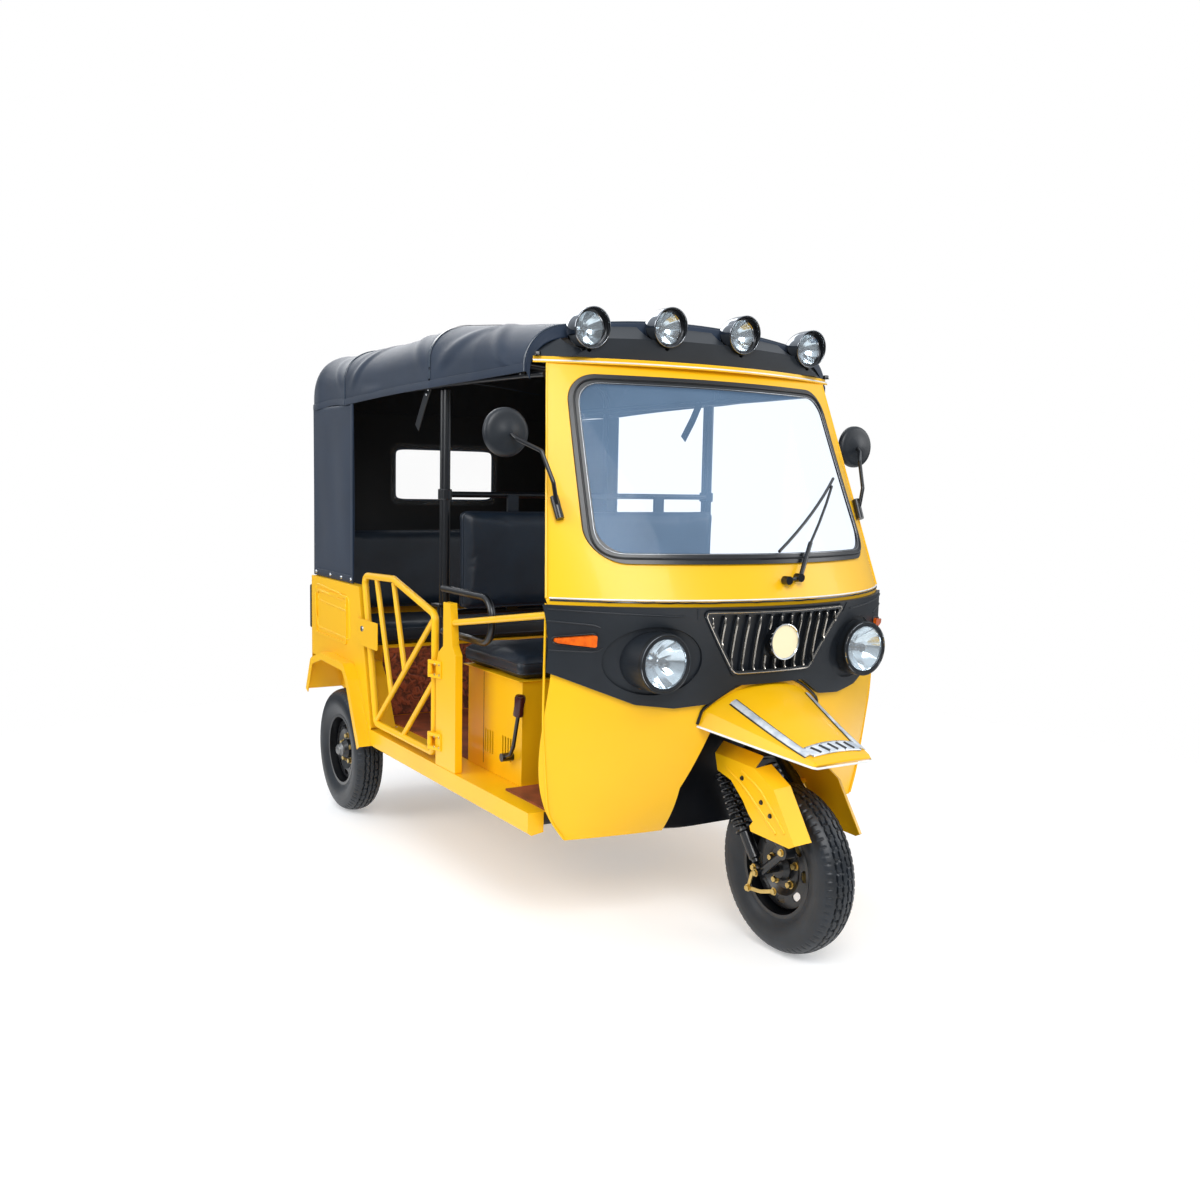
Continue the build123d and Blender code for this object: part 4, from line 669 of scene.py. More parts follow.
def canopy_rows(y):
    """Half width, edge, shoulder and crown at each y: straight between bows less a parabola of sag."""
    bows = CANOPY_BOWS
    columns = [np.interp(y, bows[:, 0], bows[:, k]) for k in range(1, 5)]
    bay = np.clip(np.searchsorted(bows[:, 0], y) - 1, 0, len(bows) - 2)
    t = (y - bows[bay, 0]) / (bows[bay + 1, 0] - bows[bay, 0])
    sag = np.asarray(CANOPY_SAG)[bay] * 4 * t * (1 - t)
    left = np.clip((bows[-1, 0] - y) / CANOPY_END_ROUND, 0, 1)
    drop = CANOPY_END_ROUND * (1 - np.sqrt(1 - (1 - left) ** 2))
    half, edge, shoulder, crown = columns
    return half - sag * 0.35 - drop * 0.12, edge + sag * 0.5, shoulder - sag - drop, crown - sag * 0.8 - drop


def canopy_section(y, share):
    """Point across the roof: straight side, quarter ellipse to the shoulder, flat arch over the crown."""
    half, edge, shoulder, crown = (value[..., None] for value in canopy_rows(y))
    s = np.abs(2 * share - 1)  # 1 at the hems, 0 on the centre line
    side = np.clip((s - 0.86) / 0.14, 0, 1)
    turn = np.clip((s - 0.62) / 0.24, 0, 1) * np.pi / 2
    flat = np.clip(s / 0.62, 0, 1)
    corner_x, corner_z = 0.150, 0.118
    top = shoulder + (crown - shoulder) * (1 - flat ** 2)
    x = (half - corner_x) * flat + corner_x * np.sin(turn)
    z = top - corner_z * (1 - np.cos(turn)) - (shoulder - corner_z - edge) * side
    return np.sign(2 * share - 1) * x, z


def canopy_surface(y, share, lift=0.0, wrinkle=0.0):
    """Grid of points over the roof, raised along its normals by lift and by the folds."""
    x, z = canopy_section(y, share)
    points = np.stack([x, np.broadcast_to(y[:, None], x.shape), z], -1)
    along, across = np.gradient(points, axis=0), np.gradient(points, axis=1)
    normal = unit(np.cross(across, along))
    normal *= np.where(normal[..., 2:] < -0.5, -1, 1)
    height = np.full(x.shape, lift)
    low = np.minimum(share, 1 - share)[None]
    for y0, s0, y1, s1, width, rise in CANOPY_FOLDS:
        start, run = np.array((y0, s0 * 1.7)), np.array((y1 - y0, (s1 - s0) * 1.7))
        here = np.stack([np.broadcast_to(y[:, None], x.shape), np.broadcast_to(low * 1.7, x.shape)],
                        -1) - start
        t = np.clip((here @ run) / (run @ run), 0, 1)
        gap = np.linalg.norm(here - t[..., None] * run, axis=-1)
        height += wrinkle * rise * np.exp(-(gap / width) ** 2) * np.sin(np.pi * np.clip(t, 0.02, 0.98)) \
            * np.cos(gap / width * 1.6)
    return points + normal * height[..., None]


class RICKSHAW_OT_canopy(bpy.types.Operator):
    """Stretch the vinyl roof over its bows, with seams, piping, hems and the back valance"""
    bl_idname = "rickshaw.canopy"
    bl_label = "Canopy"

    def execute(self, context):
        sizes = context.scene.rickshaw_sizes
        y = np.unique(np.concatenate([np.linspace(CANOPY_BOWS[0, 0], 1.18, 170),
                                      1.290 - CANOPY_END_ROUND * (1 - np.sin(np.linspace(0, np.pi / 2,
                                                                                         16)))]))
        share = np.linspace(0, 1, 181)
        roof = canopy_surface(y, share, 0.0, sizes.wrinkle)
        back_top = roof[-1]
        drop = np.linspace(0, 1, 26)[1:, None]
        low_z = np.minimum(1.5712, back_top[:, 2])
        bulge = 0.004 * np.sin(np.pi * drop) * np.cos(9 * back_top[None, :, 0] * np.pi) ** 2
        back = np.stack([np.broadcast_to(back_top[:, 0], (25, 181)), back_top[:, 1] + 0 * drop + bulge,
                         back_top[:, 2] + (low_z - back_top[:, 2]) * drop], -1)
        front_top = roof[0]
        fall = np.linspace(1, 0, 9)[:-1, None]
        inner = np.clip((np.abs(front_top[:, 0]) - 0.3) / 0.28, 0, 1)
        front = np.stack([front_top[:, 0] * (1 - 0.02 * fall), front_top[:, 1] - 0.03 * fall * (1 - inner),
                          front_top[:, 2] - fall * 0.05 * (1 - 0.6 * inner)], -1)
        skin = np.concatenate([front, roof, back])
        sheet = put("canopy_sheet", skin.reshape(-1, 3), grid(len(skin), 181), "navy_vinyl", sharp=60,
                    inward="lining", replaced=("canopy_top",))
        thicken(sheet, sizes.canvas_wall, -1, True)
        seams = []
        for seam_y in (-0.512, 0.085, 0.885):
            path = canopy_surface(np.array([seam_y - 0.001, seam_y, seam_y + 0.001]), share, 0.0012,
                                  sizes.wrinkle)[1]
            if seam_y == 0.085:
                seams.append(carried(path, strip(0.016, 0.0008), (0, 0, 1), loop=True))
            else:
                seams.append(carried(path, circle(sizes.piping, 8), (0, 1, 0)))
        # the piping's paler colour is painted highlight
        piping = put("canopy_piping", *joined(*seams), "satin_piping")
        rim = back_top[::2] + (0, 0.001, 0)
        rear_piping = put("canopy_rear_piping", *carried(rim, circle(sizes.piping, 8), (0, 1, 0)),
                          "satin_piping")
        hems = []
        for side in SIDES:
            edge = canopy_surface(y, np.array([0.0, 0.006, 0.012]) if side < 0 else np.array([1.0, 0.994,
                                                                                              0.988]),
                                  0.0, sizes.wrinkle)[:, 0]
            hems.append(carried(edge + (side * 0.001, 0, 0.011), strip(0.024, 0.0022, 0.0006), (side, 0, 0)))
        hems.append(carried(back_top[2:-2:2] * (1, 1, 0) + (0, 0.001, 1.5832), strip(0.024, 0.0022, 0.0006),
                            (0, 1, 0)))
        hem = put("canopy_hem", *joined(*hems), "navy_vinyl")
        return {"FINISHED"}


class RICKSHAW_OT_curtain(bpy.types.Operator):
    """Hang the rear curtain round the back corners, with its clear window, belts and studs"""
    bl_idname = "rickshaw.curtain"
    bl_label = "Rear curtain"

    def execute(self, context):
        wall = context.scene.rickshaw_sizes.canvas_wall
        low, high = 0.8955, 1.5755
        back_y, half, front_y, corner = 1.2885, 0.5935, 0.802, 0.045
        window_half, window_low, window_high = 0.235, 1.203, 1.429

        def weather(points):
            """Shallow vertical folds and a belly: sines of the place along the wall, fading at both hems."""
            x, y, z = np.moveaxis(points, -1, 0)
            fade = np.sin(np.pi * np.clip((z - low) / (high - low), 0, 1))
            girth = np.where(np.abs(x) > half - corner, y, np.abs(x))
            ripple = (0.0016 * np.sin(girth * 13 + 2 * z) + 0.0007 * np.sin(girth * 29 - 5 * z)) * fade
            belly = -0.003 * fade
            side = (np.abs(x) > half - 0.001)
            return points + np.stack([np.where(side, np.sign(x) * (belly + ripple), 0),
                                      np.where(side, 0, belly + ripple), 0 * z], -1)

        t = np.linspace(0, 2 * np.pi, 160, endpoint=False) + np.pi / 4
        power = 0.16
        window = np.stack([(window_half * np.sign(np.cos(t)) * np.abs(np.cos(t)) ** power),
                           (window_high + window_low) / 2
                           + (window_high - window_low) / 2
                           * np.sign(np.sin(t)) * np.abs(np.sin(t)) ** power], 1)
        box_half = half - corner
        reach = 1 / np.maximum(np.abs(np.cos(t)), np.abs(np.sin(t)))
        edge = np.stack([np.clip(box_half * np.cos(t) * reach, -box_half, box_half),
                         (low + high) / 2 + (high - low) / 2 * np.clip(np.sin(t) * reach, -1, 1)], 1)
        w = np.linspace(0, 1, 34)[:, None, None] ** 0.85
        flat = window[None] * (1 - w) + edge[None] * w
        back = np.stack([flat[..., 0], np.full(flat.shape[:2], back_y), flat[..., 1]], -1)
        shapes = [(weather(back).reshape(-1, 3), grid(34, 160, False, True))]
        for side in SIDES:
            plan = eased([(side * box_half, back_y), (side * half, back_y), (side * half, front_y)], corner,
                         9)
            plan = np.concatenate([plan[:-1], evened(plan[-2:], 0.012)[1:]])
            height = np.linspace(low, high, 56)
            wallpoints = np.stack([np.broadcast_to(plan[:, None, 0], (len(plan), 56)),
                                   np.broadcast_to(plan[:, None, 1], (len(plan), 56)),
                                   np.broadcast_to(height, (len(plan), 56))], -1)
            faces = grid(len(plan), 56)
            shapes.append((weather(wallpoints).reshape(-1, 3), faces if side > 0 else faces[:, ::-1]))
        curtain = put("curtain_sheet", *joined(*shapes), "navy_vinyl", sharp=70, inward="lining",
                      replaced=("rear_curtain",))
        thicken(curtain, wall, -1, True)
        rim = np.stack([window[:, 0], np.full(160, back_y - 0.0026), window[:, 1]], 1)
        frame_strip = put("window_binding", *carried(rim, strip(0.014, 0.0016, 0.0006), (0, 1, 0),
                                                     close=True),
                          "navy_vinyl")
        trims = []
        for side in SIDES:
            x = side * (half + 0.0006)
            trims.append(carried([(x, front_y + 0.012, low), (x, front_y + 0.012, (low + high) / 2),
                                  (x, front_y + 0.012, high)], strip(0.024, 0.0022, 0.0006), (side, 0, 0)))
            trims.append(carried([(side * half, back_y - 0.05, low + 0.014), (side * half, 1.0, low + 0.014),
                                  (side * half, front_y, low + 0.014)], strip(0.028, 0.0024, 0.0008),
                                 (side, 0, 0)))
        belt_z = low + 0.014
        trims.append(carried([(-box_half, back_y, belt_z), (0, back_y, belt_z), (box_half, back_y, belt_z)],
                             strip(0.028, 0.0024, 0.0008), (0, 1, 0)))
        binding = put("curtain_binding", *joined(*trims), "navy_vinyl")
        places = [frame_at((side * (half + 0.003), y, belt_z), (side, 0, 0)) for side in SIDES
                  for y in (1.235, 1.06, 0.93, 0.822)]
        places += [frame_at((x, back_y + 0.003, belt_z), (0, 1, 0)) for x in np.linspace(-0.5, 0.5, 6)]
        studs = put("curtain_studs", *repeated(*screw_head(0.014, 0.005), places), "chrome_shell")
        return {"FINISHED"}


# --- seats --------------------------------------------------------------------------
def pad_block(low, high, shrink, corner, lean=None, count=40):
    """Rounded block: a squashed superellipsoid between two corners, each face drawn in by shrink."""
    low, high = np.asarray(low, float) + shrink, np.asarray(high, float) - shrink
    u = np.linspace(-1, 1, count)
    faces, points = [], []
    for axis in range(3):
        for end in (-1, 1):
            a, b = np.meshgrid(u, u, indexing="ij")
            cube = np.empty((count, count, 3))
            cube[..., axis], cube[..., (axis + 1) % 3], cube[..., (axis + 2) % 3] = end, a, b
            faces.append(grid(count, count) + len(points) * count * count)
            if end < 0:
                faces[-1] = faces[-1][:, ::-1]
            points.append(cube.reshape(-1, 3))
    cube = np.concatenate(points)
    half = (high - low) / 2
    core = np.clip(cube * half, -(half - corner), half - corner)
    skin = core + unit(cube * half - core + 1e-9 * cube) * corner
    made = skin + (low + high) / 2
    if lean is not None:
        made[:, 1] += lean * (made[:, 2] - low[2])
    return made, np.concatenate(faces)


def swell(piece, cap, pressure=4.0, voxel=0.007):
    """Remeshes a pad, blows it up as cloth and keeps each point within cap of where it began."""
    bpy.context.view_layer.objects.active = piece
    remesh = piece.modifiers.new("Remesh", "REMESH")
    remesh.mode, remesh.voxel_size = "VOXEL", voxel
    bpy.ops.object.modifier_apply(modifier=remesh.name)
    count = len(piece.data.vertices)
    start = np.empty(count * 3)
    piece.data.vertices.foreach_get("co", start)
    start = start.reshape(-1, 3)
    cloth = piece.modifiers.new("Cloth", "CLOTH")
    cloth.settings.use_pressure = True
    cloth.settings.uniform_pressure_force = pressure
    cloth.settings.effector_weights.gravity = 0
    cloth.settings.quality = 4
    cloth.point_cache.frame_start, cloth.point_cache.frame_end = 1, 20
    for step in range(1, 21):
        bpy.context.scene.frame_set(step)
    bpy.ops.object.modifier_apply(modifier=cloth.name)
    bpy.context.scene.frame_set(1)
    end = np.empty(count * 3)
    piece.data.vertices.foreach_get("co", end)
    move = end.reshape(-1, 3) - start
    length = np.linalg.norm(move, axis=1, keepdims=True)
    move *= np.minimum(1, cap / np.maximum(length, 1e-9))
    piece.data.vertices.foreach_set("co", (start + move).ravel())
    piece.data.update()
    piece.data.polygons.foreach_set("use_smooth", np.ones(len(piece.data.polygons), bool))
    return smooth_more(piece)


# padded pieces: name, node, shrink, corner radius
PADS = [
    ("driver_cushion_pad", "driver_cushion", 0.006, 0.026),
    ("driver_backrest_pad", "driver_backrest", 0.005, 0.020),
    ("bench_cushion_pad", "bench_cushion", 0.006, 0.026),
    ("bench_backrest_pad", "bench_backrest", 0.006, 0.022),
]


class RICKSHAW_OT_seats(bpy.types.Operator):
    """Blow up the foam seats and sew their piping"""
    bl_idname = "rickshaw.seats"
    bl_label = "Seats"

    def execute(self, context):
        rise = context.scene.rickshaw_sizes.pad_rise
        for name, node, shrink, corner in PADS:
            low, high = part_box(node)
            low, high = np.array(low), np.array(high)
            lean = None
            if node == "bench_backrest":
                lean, high = 0.085, high - (0, 0.028, 0)
            points, faces = pad_block(low, high, shrink, corner, lean)
            pad = put(name, points, faces, "black_vinyl", replaced=(node,))
            merge_doubles(pad)
            swell(pad, rise)
            flat_axis = int(np.argmin(high - low))
            others = [k for k in range(3) if k != flat_axis]
            seams = []
            skin = BVHTree.FromPolygons([v.co for v in pad.data.vertices],
                                        [p.vertices[:] for p in pad.data.polygons])
            for end in (0.16, 0.84) if flat_axis == 2 else (0.2,):
                corners = np.array([(0, 0), (1, 0), (1, 1), (0, 1)], float)
                path = np.zeros((4, 3))
                path[:, others] = low[others] + shrink * 0.6 + corners * (high - low - shrink * 1.2)[others]
                path[:, flat_axis] = low[flat_axis] + end * (high - low)[flat_axis]
                if lean:
                    path[:, 1] += lean * (path[:, 2] - low[2])
                loop = evened(eased(path, 0.05, close=True), 0.012, close=True)
                loop = np.array([skin.find_nearest(Vector(point))[0] for point in loop])
                loop = (np.roll(loop, 1, 0) + 2 * loop + np.roll(loop, -1, 0)) / 4
                up = np.zeros(3)
                up[flat_axis] = 1
                seams.append(carried(loop, circle(0.006, 8), up, close=True))
            put(f"{name[:-4]}_piping", *joined(*seams), "seat_piping")
        return {"FINISHED"}


def merge_doubles(piece):
    """Closes the seams between the grids of a piece."""
    weld = piece.modifiers.new("Weld", "WELD")
    weld.merge_threshold = 0.0001
    bpy.context.view_layer.objects.active = piece
    bpy.ops.object.modifier_apply(modifier=weld.name)


# --- lamps --------------------------------------------------------------------------
def bowl(radius, depth, throat, facets, count=72):
    """Faceted reflector: depth falls as the square of the radius, each facet a shallow flute."""
    r = np.linspace(radius, throat, 14)
    profile = np.stack([depth * (1 - (r / radius) ** 2), r], 1)
    points, faces = turned(profile, (0, 0, 0), (0, 0, -1), count)
    angle = np.arctan2(points[:, 1], points[:, 0])
    points[:, 2] += 0.0016 * np.abs(np.sin(angle * facets / 2)) * (np.hypot(points[:, 0],
                                                                            points[:, 1]) / radius)
    return points, faces[:, ::-1].tolist()


def dome(radius, rise, count=48):
    """Shallow lens: a paraboloid cap of a radius and rise, closed at its pole."""
    r = np.linspace(radius, radius / 60, 9)
    points, faces = turned(np.stack([rise * (1 - (r / radius) ** 2), r], 1), (0, 0, 0), (0, 0, 1), count)
    return points, faces.tolist()


class RICKSHAW_OT_headlamps(bpy.types.Operator):
    """Fit reflectors, bulbs, bezels and glass to the two headlamps"""
    bl_idname = "rickshaw.headlamps"
    bl_label = "Headlamps"

    def execute(self, context):
        places = [frame_at(np.array(place) + (0, 0.004, 0), (0, -1, 0)) for place in HEADLAMPS]
        put("headlamp_reflectors", *repeated(*bowl(0.0655, 0.048, 0.011, 12), places), "reflector")
        ring = turned([(-0.010, 0.0660), (0.003, 0.0656), (0.0058, 0.0668), (0.0060, 0.0692),
                       (0.0035, 0.0712),
                       (-0.006, 0.0716)], (0, 0, 0), (0, 0, 1), 72, True)
        line = turned([(0.0050, 0.0775), (0.0072, 0.0785), (0.0050, 0.0797)], (0, 0, 0), (0, 0, 1), 72, True)
        put("headlamp_rings", *repeated(*joined(ring, line), places), "chrome_shell")
        bezel = turned([(-0.006, 0.0716), (0.0042, 0.0722), (0.0066, 0.0745), (0.0064, 0.0790),
                        (0.0030, 0.0822),
                        (-0.006, 0.0826)], (0, 0, 0), (0, 0, 1), 72, True)
        put("headlamp_bezels", *repeated(*bezel, places), "black_plastic")
        bulb = joined(turned([(-0.046, 0.011), (-0.026, 0.011), (-0.024, 0.008), (-0.016, 0.008),
                              (-0.009, 0.005),
                              (-0.007, 0.0005)], (0, 0, 0), (0, 0, 1), 20),
                      turned([(-0.014, 0.0005), (-0.011, 0.012), (-0.008, 0.0135), (-0.005, 0.012),
                              (-0.003, 0.0005)], (0, 0, 0), (0, 0, 1), 24))
        put("headlamp_bulbs", *repeated(*bulb, places), "steel_rod")
        glass = put("headlamp_glass", *repeated(*dome(0.0662, 0.009), places), "lamp_glass",
                    replaced=("headlamp_lenses",))
        thicken(glass, 0.0025, -1)
        return {"FINISHED"}


class RICKSHAW_OT_roof_lamps(bpy.types.Operator):
    """Build the four hooded chrome lamps along the roof edge"""
    bl_idname = "rickshaw.roof_lamps"
    bl_label = "Roof lamps"

    def execute(self, context):
        hood, lip, length, straight = 0.026, 0.008, 0.090, 0.3
        angle = np.linspace(0, 2 * np.pi, 64, endpoint=False)
        s = np.linspace(0, 1, 30)[:, None] ** 0.8
        start = -lip - (hood - lip) * (1 + np.sin(angle)) / 2
        along = start + (length - start) * s
        share = np.clip((along + hood) / (length + hood), 0, 1)
        past = np.clip((share - straight) / (1 - straight), 0, 1)
        radius = LAMP_RADIUS * np.sqrt(np.clip(1 - past ** 2.1, 0.0004, 1))
        shell = np.stack([radius * np.cos(angle), radius * np.sin(angle), -along], -1).reshape(-1, 3)
        places = [frame_at(place, (0, -1, 0)) for place in ROOF_LAMPS]
        shells = put("roof_lamp_shells", *repeated(shell, grid(30, 64, False, True)[:, ::-1].tolist(),
                                                   places),
                     "dark_chrome", sharp=60, inward="black_frame_paint", replaced=("roof_lamps",))
        thicken(shells, 0.0024, -1, True)
        seats = [frame_at(np.array(place) + (0, 0.006, 0), (0, -1, 0)) for place in ROOF_LAMPS]
        put("roof_lamp_reflectors", *repeated(*bowl(0.0450, 0.032, 0.008, 10, 60), seats), "reflector")
        ring = turned([(-0.004, 0.0446), (0.004, 0.0444), (0.006, 0.0458), (0.005, 0.0490), (0.0, 0.0500),
                       (-0.004, 0.0500)], (0, 0, 0), (0, 0, 1), 56, True)
        put("roof_lamp_rings", *repeated(*ring, seats), "chrome_shell")
        collar = turned([(-0.006, 0.0498), (-0.001, 0.0498), (-0.002, 0.0552), (-0.007, 0.0552)], (0, 0, 0),
                        (0, 0, 1), 56, True)
        put("roof_lamp_collars", *repeated(*collar, seats), "chrome_shell")
        put("roof_lamp_bulbs", *repeated(*turned([(-0.030, 0.007), (-0.016, 0.006), (-0.008, 0.0005)],
                                                 (0, 0, 0), (0, 0, 1), 16), seats), "steel_rod")
        glass = put("roof_lamp_glass", *repeated(*dome(0.0447, 0.006), seats), "lamp_glass",
                    replaced=("roof_lamp_lenses",))
        thicken(glass, 0.002, -1)
        feet = [frame_at(np.array(place) + (0, 0.014, -LAMP_RADIUS - 0.002),
                         (0, -1, 0)) for place in ROOF_LAMPS]
        put("roof_lamp_nuts", *repeated(*hex_head(0.016, 0.010), feet), "black_frame_paint")
        return {"FINISHED"}


# --- nose trim ----------------------------------------------------------------------
class RICKSHAW_OT_nose_trim(bpy.types.Operator):
    """Lay the bright strips, ribs and seals on the mask, grille, beak and visor"""
    bl_idname = "rickshaw.nose_trim"
    bl_label = "Nose trim"

    def execute(self, context):
        slats = []
        for index in range(13):
            x = (index - 6) * 0.516 / 14
            foot = 0.778 + max(0.0, (abs(x) - 0.140) / 0.118) * 0.186
            line = [(x, -1.3, z) for z in np.linspace(foot + 0.012, 0.950, 16)]
            path, _ = landed(["grille"], line, (0, 1, 0), 0.0)
            path[:, 1] += 0.014 * np.clip((path[:, 2] - 0.926) / 0.024, 0, 1) ** 2
            if abs(x) < 0.046:
                path = path[np.abs(path[:, 2] - 0.872) > np.sqrt(max(0.0502 ** 2 - x ** 2, 0)) - 0.002]
                for part in (path[path[:, 2] < 0.872], path[path[:, 2] > 0.872]):
                    slats.append(carried(part, strip(0.0068, 0.003, 0.0042), (0, -1, 0)))
            else:
                slats.append(carried(path, strip(0.0068, 0.003, 0.0042), (0, -1, 0)))
        put("grille_slats", *joined(*slats), "grille_bronze")
        rim = turned([(0.0, 0.0462), (0.0035, 0.0462), (0.0055, 0.048), (0.0045, 0.0505), (0.0, 0.0515)],
                     (0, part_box("grille_badge")[0].y + 0.001, 0.872), (0, -1, 0), 64)
        put("badge_ring", *rim, "chrome_shell")

        def laid(name, outline, profile, nodes, surface, way=(0, 1, 0), body="body", close=False, lift=0.0):
            path, out = landed(nodes, outline, way, lift)
            return put(name, *carried(path, profile, out, close), surface, body)

        frame_line = eased([(-0.250, -1.3, 0.959), (0.250, -1.3, 0.959), (0.136, -1.3, 0.783),
                            (-0.136, -1.3, 0.783)], 0.014, close=True)
        laid("grille_frame_line", evened(frame_line, 0.012, True), strip(0.0032, 0.0014, 0.0006), ["grille"],
             "grille_bronze", close=True)
        belt_z = 0.9905
        for side in SIDES:
            steps = [[(0.614, 0.962), (0.300, 0.948)], [(0.614, 0.930), (0.515, 0.922), (0.500, 0.915)],
                     [(0.610, 0.850), (0.505, 0.848), (0.492, 0.860)], [(0.270, 0.968), (0.262, 0.940)]]
            lines = []
            for step in steps:
                path = evened([(side * x, -1.3, z) for x, z in step], 0.012)
                path, out = landed(["front_mask"], path, (0, 1, 0), 0.0)
                lines.append(carried(path, strip(0.0042, 0.0016, 0.0008), out))
            put(f"mask_steps_{'right' if side < 0 else 'left'}", *joined(*lines), "charcoal_plastic")
        belt = evened([(x, -1.3, belt_z) for x in np.linspace(-0.604, 0.604, 61)], 0.02)
        laid("belt_trim", belt, strip(0.0042, 0.0022, 0.0012), ["front_cowl"], "bright_trim")
        laid("belt_line", belt - (0, 0, 0.0055), strip(0.0046, 0.0022), ["front_cowl"], "black_rubber")
        rims = []
        for side in SIDES:
            corners = [(side * 0.509, -1.3, 0.8588), (side * 0.603, -1.3, 0.8694),
                       (side * 0.603, -1.3, 0.8866),
                       (side * 0.509, -1.3, 0.8993)]
            ring = evened(eased(corners, 0.007, 5, True), 0.006, True)
            path, out = landed(["front_mask"], ring, (0, 1, 0), -0.0006)
            rims.append(carried(path, strip(0.0050, 0.0030, 0.0015), out, True))
        put("indicator_bezels", *joined(*rims), "black_plastic")
        return {"FINISHED"}


class RICKSHAW_OT_beak_trim(bpy.types.Operator):
    """Fit the bright strips, the end plate with dark strips of painted shade for its slots, and the edge
    trims of the front beak
    """
    bl_idname = "rickshaw.beak_trim"
    bl_label = "Beak trim"

    def execute(self, context):
        beak = ["front_mudguard"]
        shapes, rims = [], []
        for side in SIDES:
            line = evened([(side * 0.136, -0.968, 1.0), (side * 0.094, -1.236, 1.0)], 0.012)
            path, out = landed(beak, line, (0, 0, -1), 0.0008)
            rims.append(carried(path, strip(0.028, 0.0012), out))
            shapes.append(carried(path, strip(0.021, 0.0034, 0.0014), out))
        put("beak_strip_seats", *joined(*rims), "black_rubber")
        put("beak_strips", *joined(*shapes), "satin_chrome")
        u, v = np.meshgrid(np.linspace(-1, 1, 41), np.linspace(0, 1, 9), indexing="ij")
        y = -1.206 - 0.040 * v
        starts = np.stack([u * (0.094 - 0.012 * v), y, np.full(u.shape, 1.0)], -1).reshape(-1, 3)
        plate, _ = landed(beak, starts, (0, 0, -1), 0.0042)
        thicken(put("beak_plate", plate, grid(41, 9), "satin_chrome"), 0.0036, -1)
        # the plate is not cut: dark strips laid on it stand in for its slots, painted shade where the
        # openings would be
        dark = []
        for k in range(5):
            x = (k - 2) * 0.029
            run = [(x - 0.010, -1.2135, 1.0), (x - 0.002, -1.226, 1.0), (x + 0.006, -1.2385, 1.0)]
            dark.append(carried(landed(beak, run, (0, 0, -1), 0.0036)[0], strip(0.0085, 0.0018),
                                (0, -0.45, 0.9)))
        put("beak_slot_painted_shade", *joined(*dark), "black_rubber")
        heads, out = landed(beak, [(x, y, 1.0) for x in (-0.084, -0.028, 0.028, 0.084) for y in (-1.2095,
                                                                                                 -1.242)],
                            (0, 0, -1), 0.0040)
        put("beak_screws", *repeated(*screw_head(0.006, 0.002),
                                     [frame_at(*row, (0, 1, 0)) for row in zip(heads, out)]),
            "steel_rod")
        edge = eased([(-0.2205, -0.905, 0.634), (-0.105, -1.262, 0.5795), (-0.098, -1.2745, 0.5785),
                      (0.098, -1.2745, 0.5785), (0.105, -1.262, 0.5795), (0.2205, -0.905, 0.634)], 0.03, 9)
        put("beak_edge_trim", *carried(evened(edge, 0.01), circle(0.0062, 8)), "bright_trim")
        seal = []
        for u in np.linspace(-1, 1, 41):
            seal.append((u * 0.2105, -1.3, 0.0))
        x = np.array([p[0] for p in seal])
        crown = 0.684 + (0.771 - 0.684) * (1 - (x / 0.2105) ** 2)
        foot, _ = landed(["front_cowl"], np.stack([x, np.full(41, -1.3), crown - 0.004], 1), (0, 1, 0))
        ends = [np.array([[side * 0.221, foot[k, 1] + 0.012, 0.640]]) for side, k in ((-1, 0), (1, -1))]
        ends = [landed(["front_cowl"], [(e[0, 0], -1.3, e[0, 2])], (0, 1, 0))[0] for e in ends]
        path = evened(np.concatenate([ends[0], foot, ends[1]]), 0.012)
        put("beak_seal", *carried(path + (0, -0.003, 0), circle(0.009, 8), (0, -1, 0)), "black_rubber")
        half, nose, ends_y = 0.5495, -0.668, -0.5365
        x = np.linspace(-half, half, 61)
        radius = (half ** 2 + (ends_y - nose) ** 2) / (2 * (ends_y - nose))
        lip = np.stack([x, nose + radius - np.sqrt(radius ** 2 - x ** 2), np.full(61, 1.6425)], 1)
        put("visor_lip", *carried(lip, strip(0.006, 0.0035, 0.002), (0, -1, 0)), "bright_trim")
        put("visor_flange", *carried(lip + (0, 0.0, -0.004), strip(0.004, 0.007), (0, -1, 0)), "yellow_paint")
        return {"FINISHED"}


# --- front fork ---------------------------------------------------------------------
SPRING_TOP, SPRING_FOOT = np.array((0, -0.868, 0.480)), np.array((0, -1.036, 0.258))
COIL_SHARE, COIL_TURNS, COIL_RADIUS, COIL_WIRE = 0.64, 9, 0.0228, 0.0082


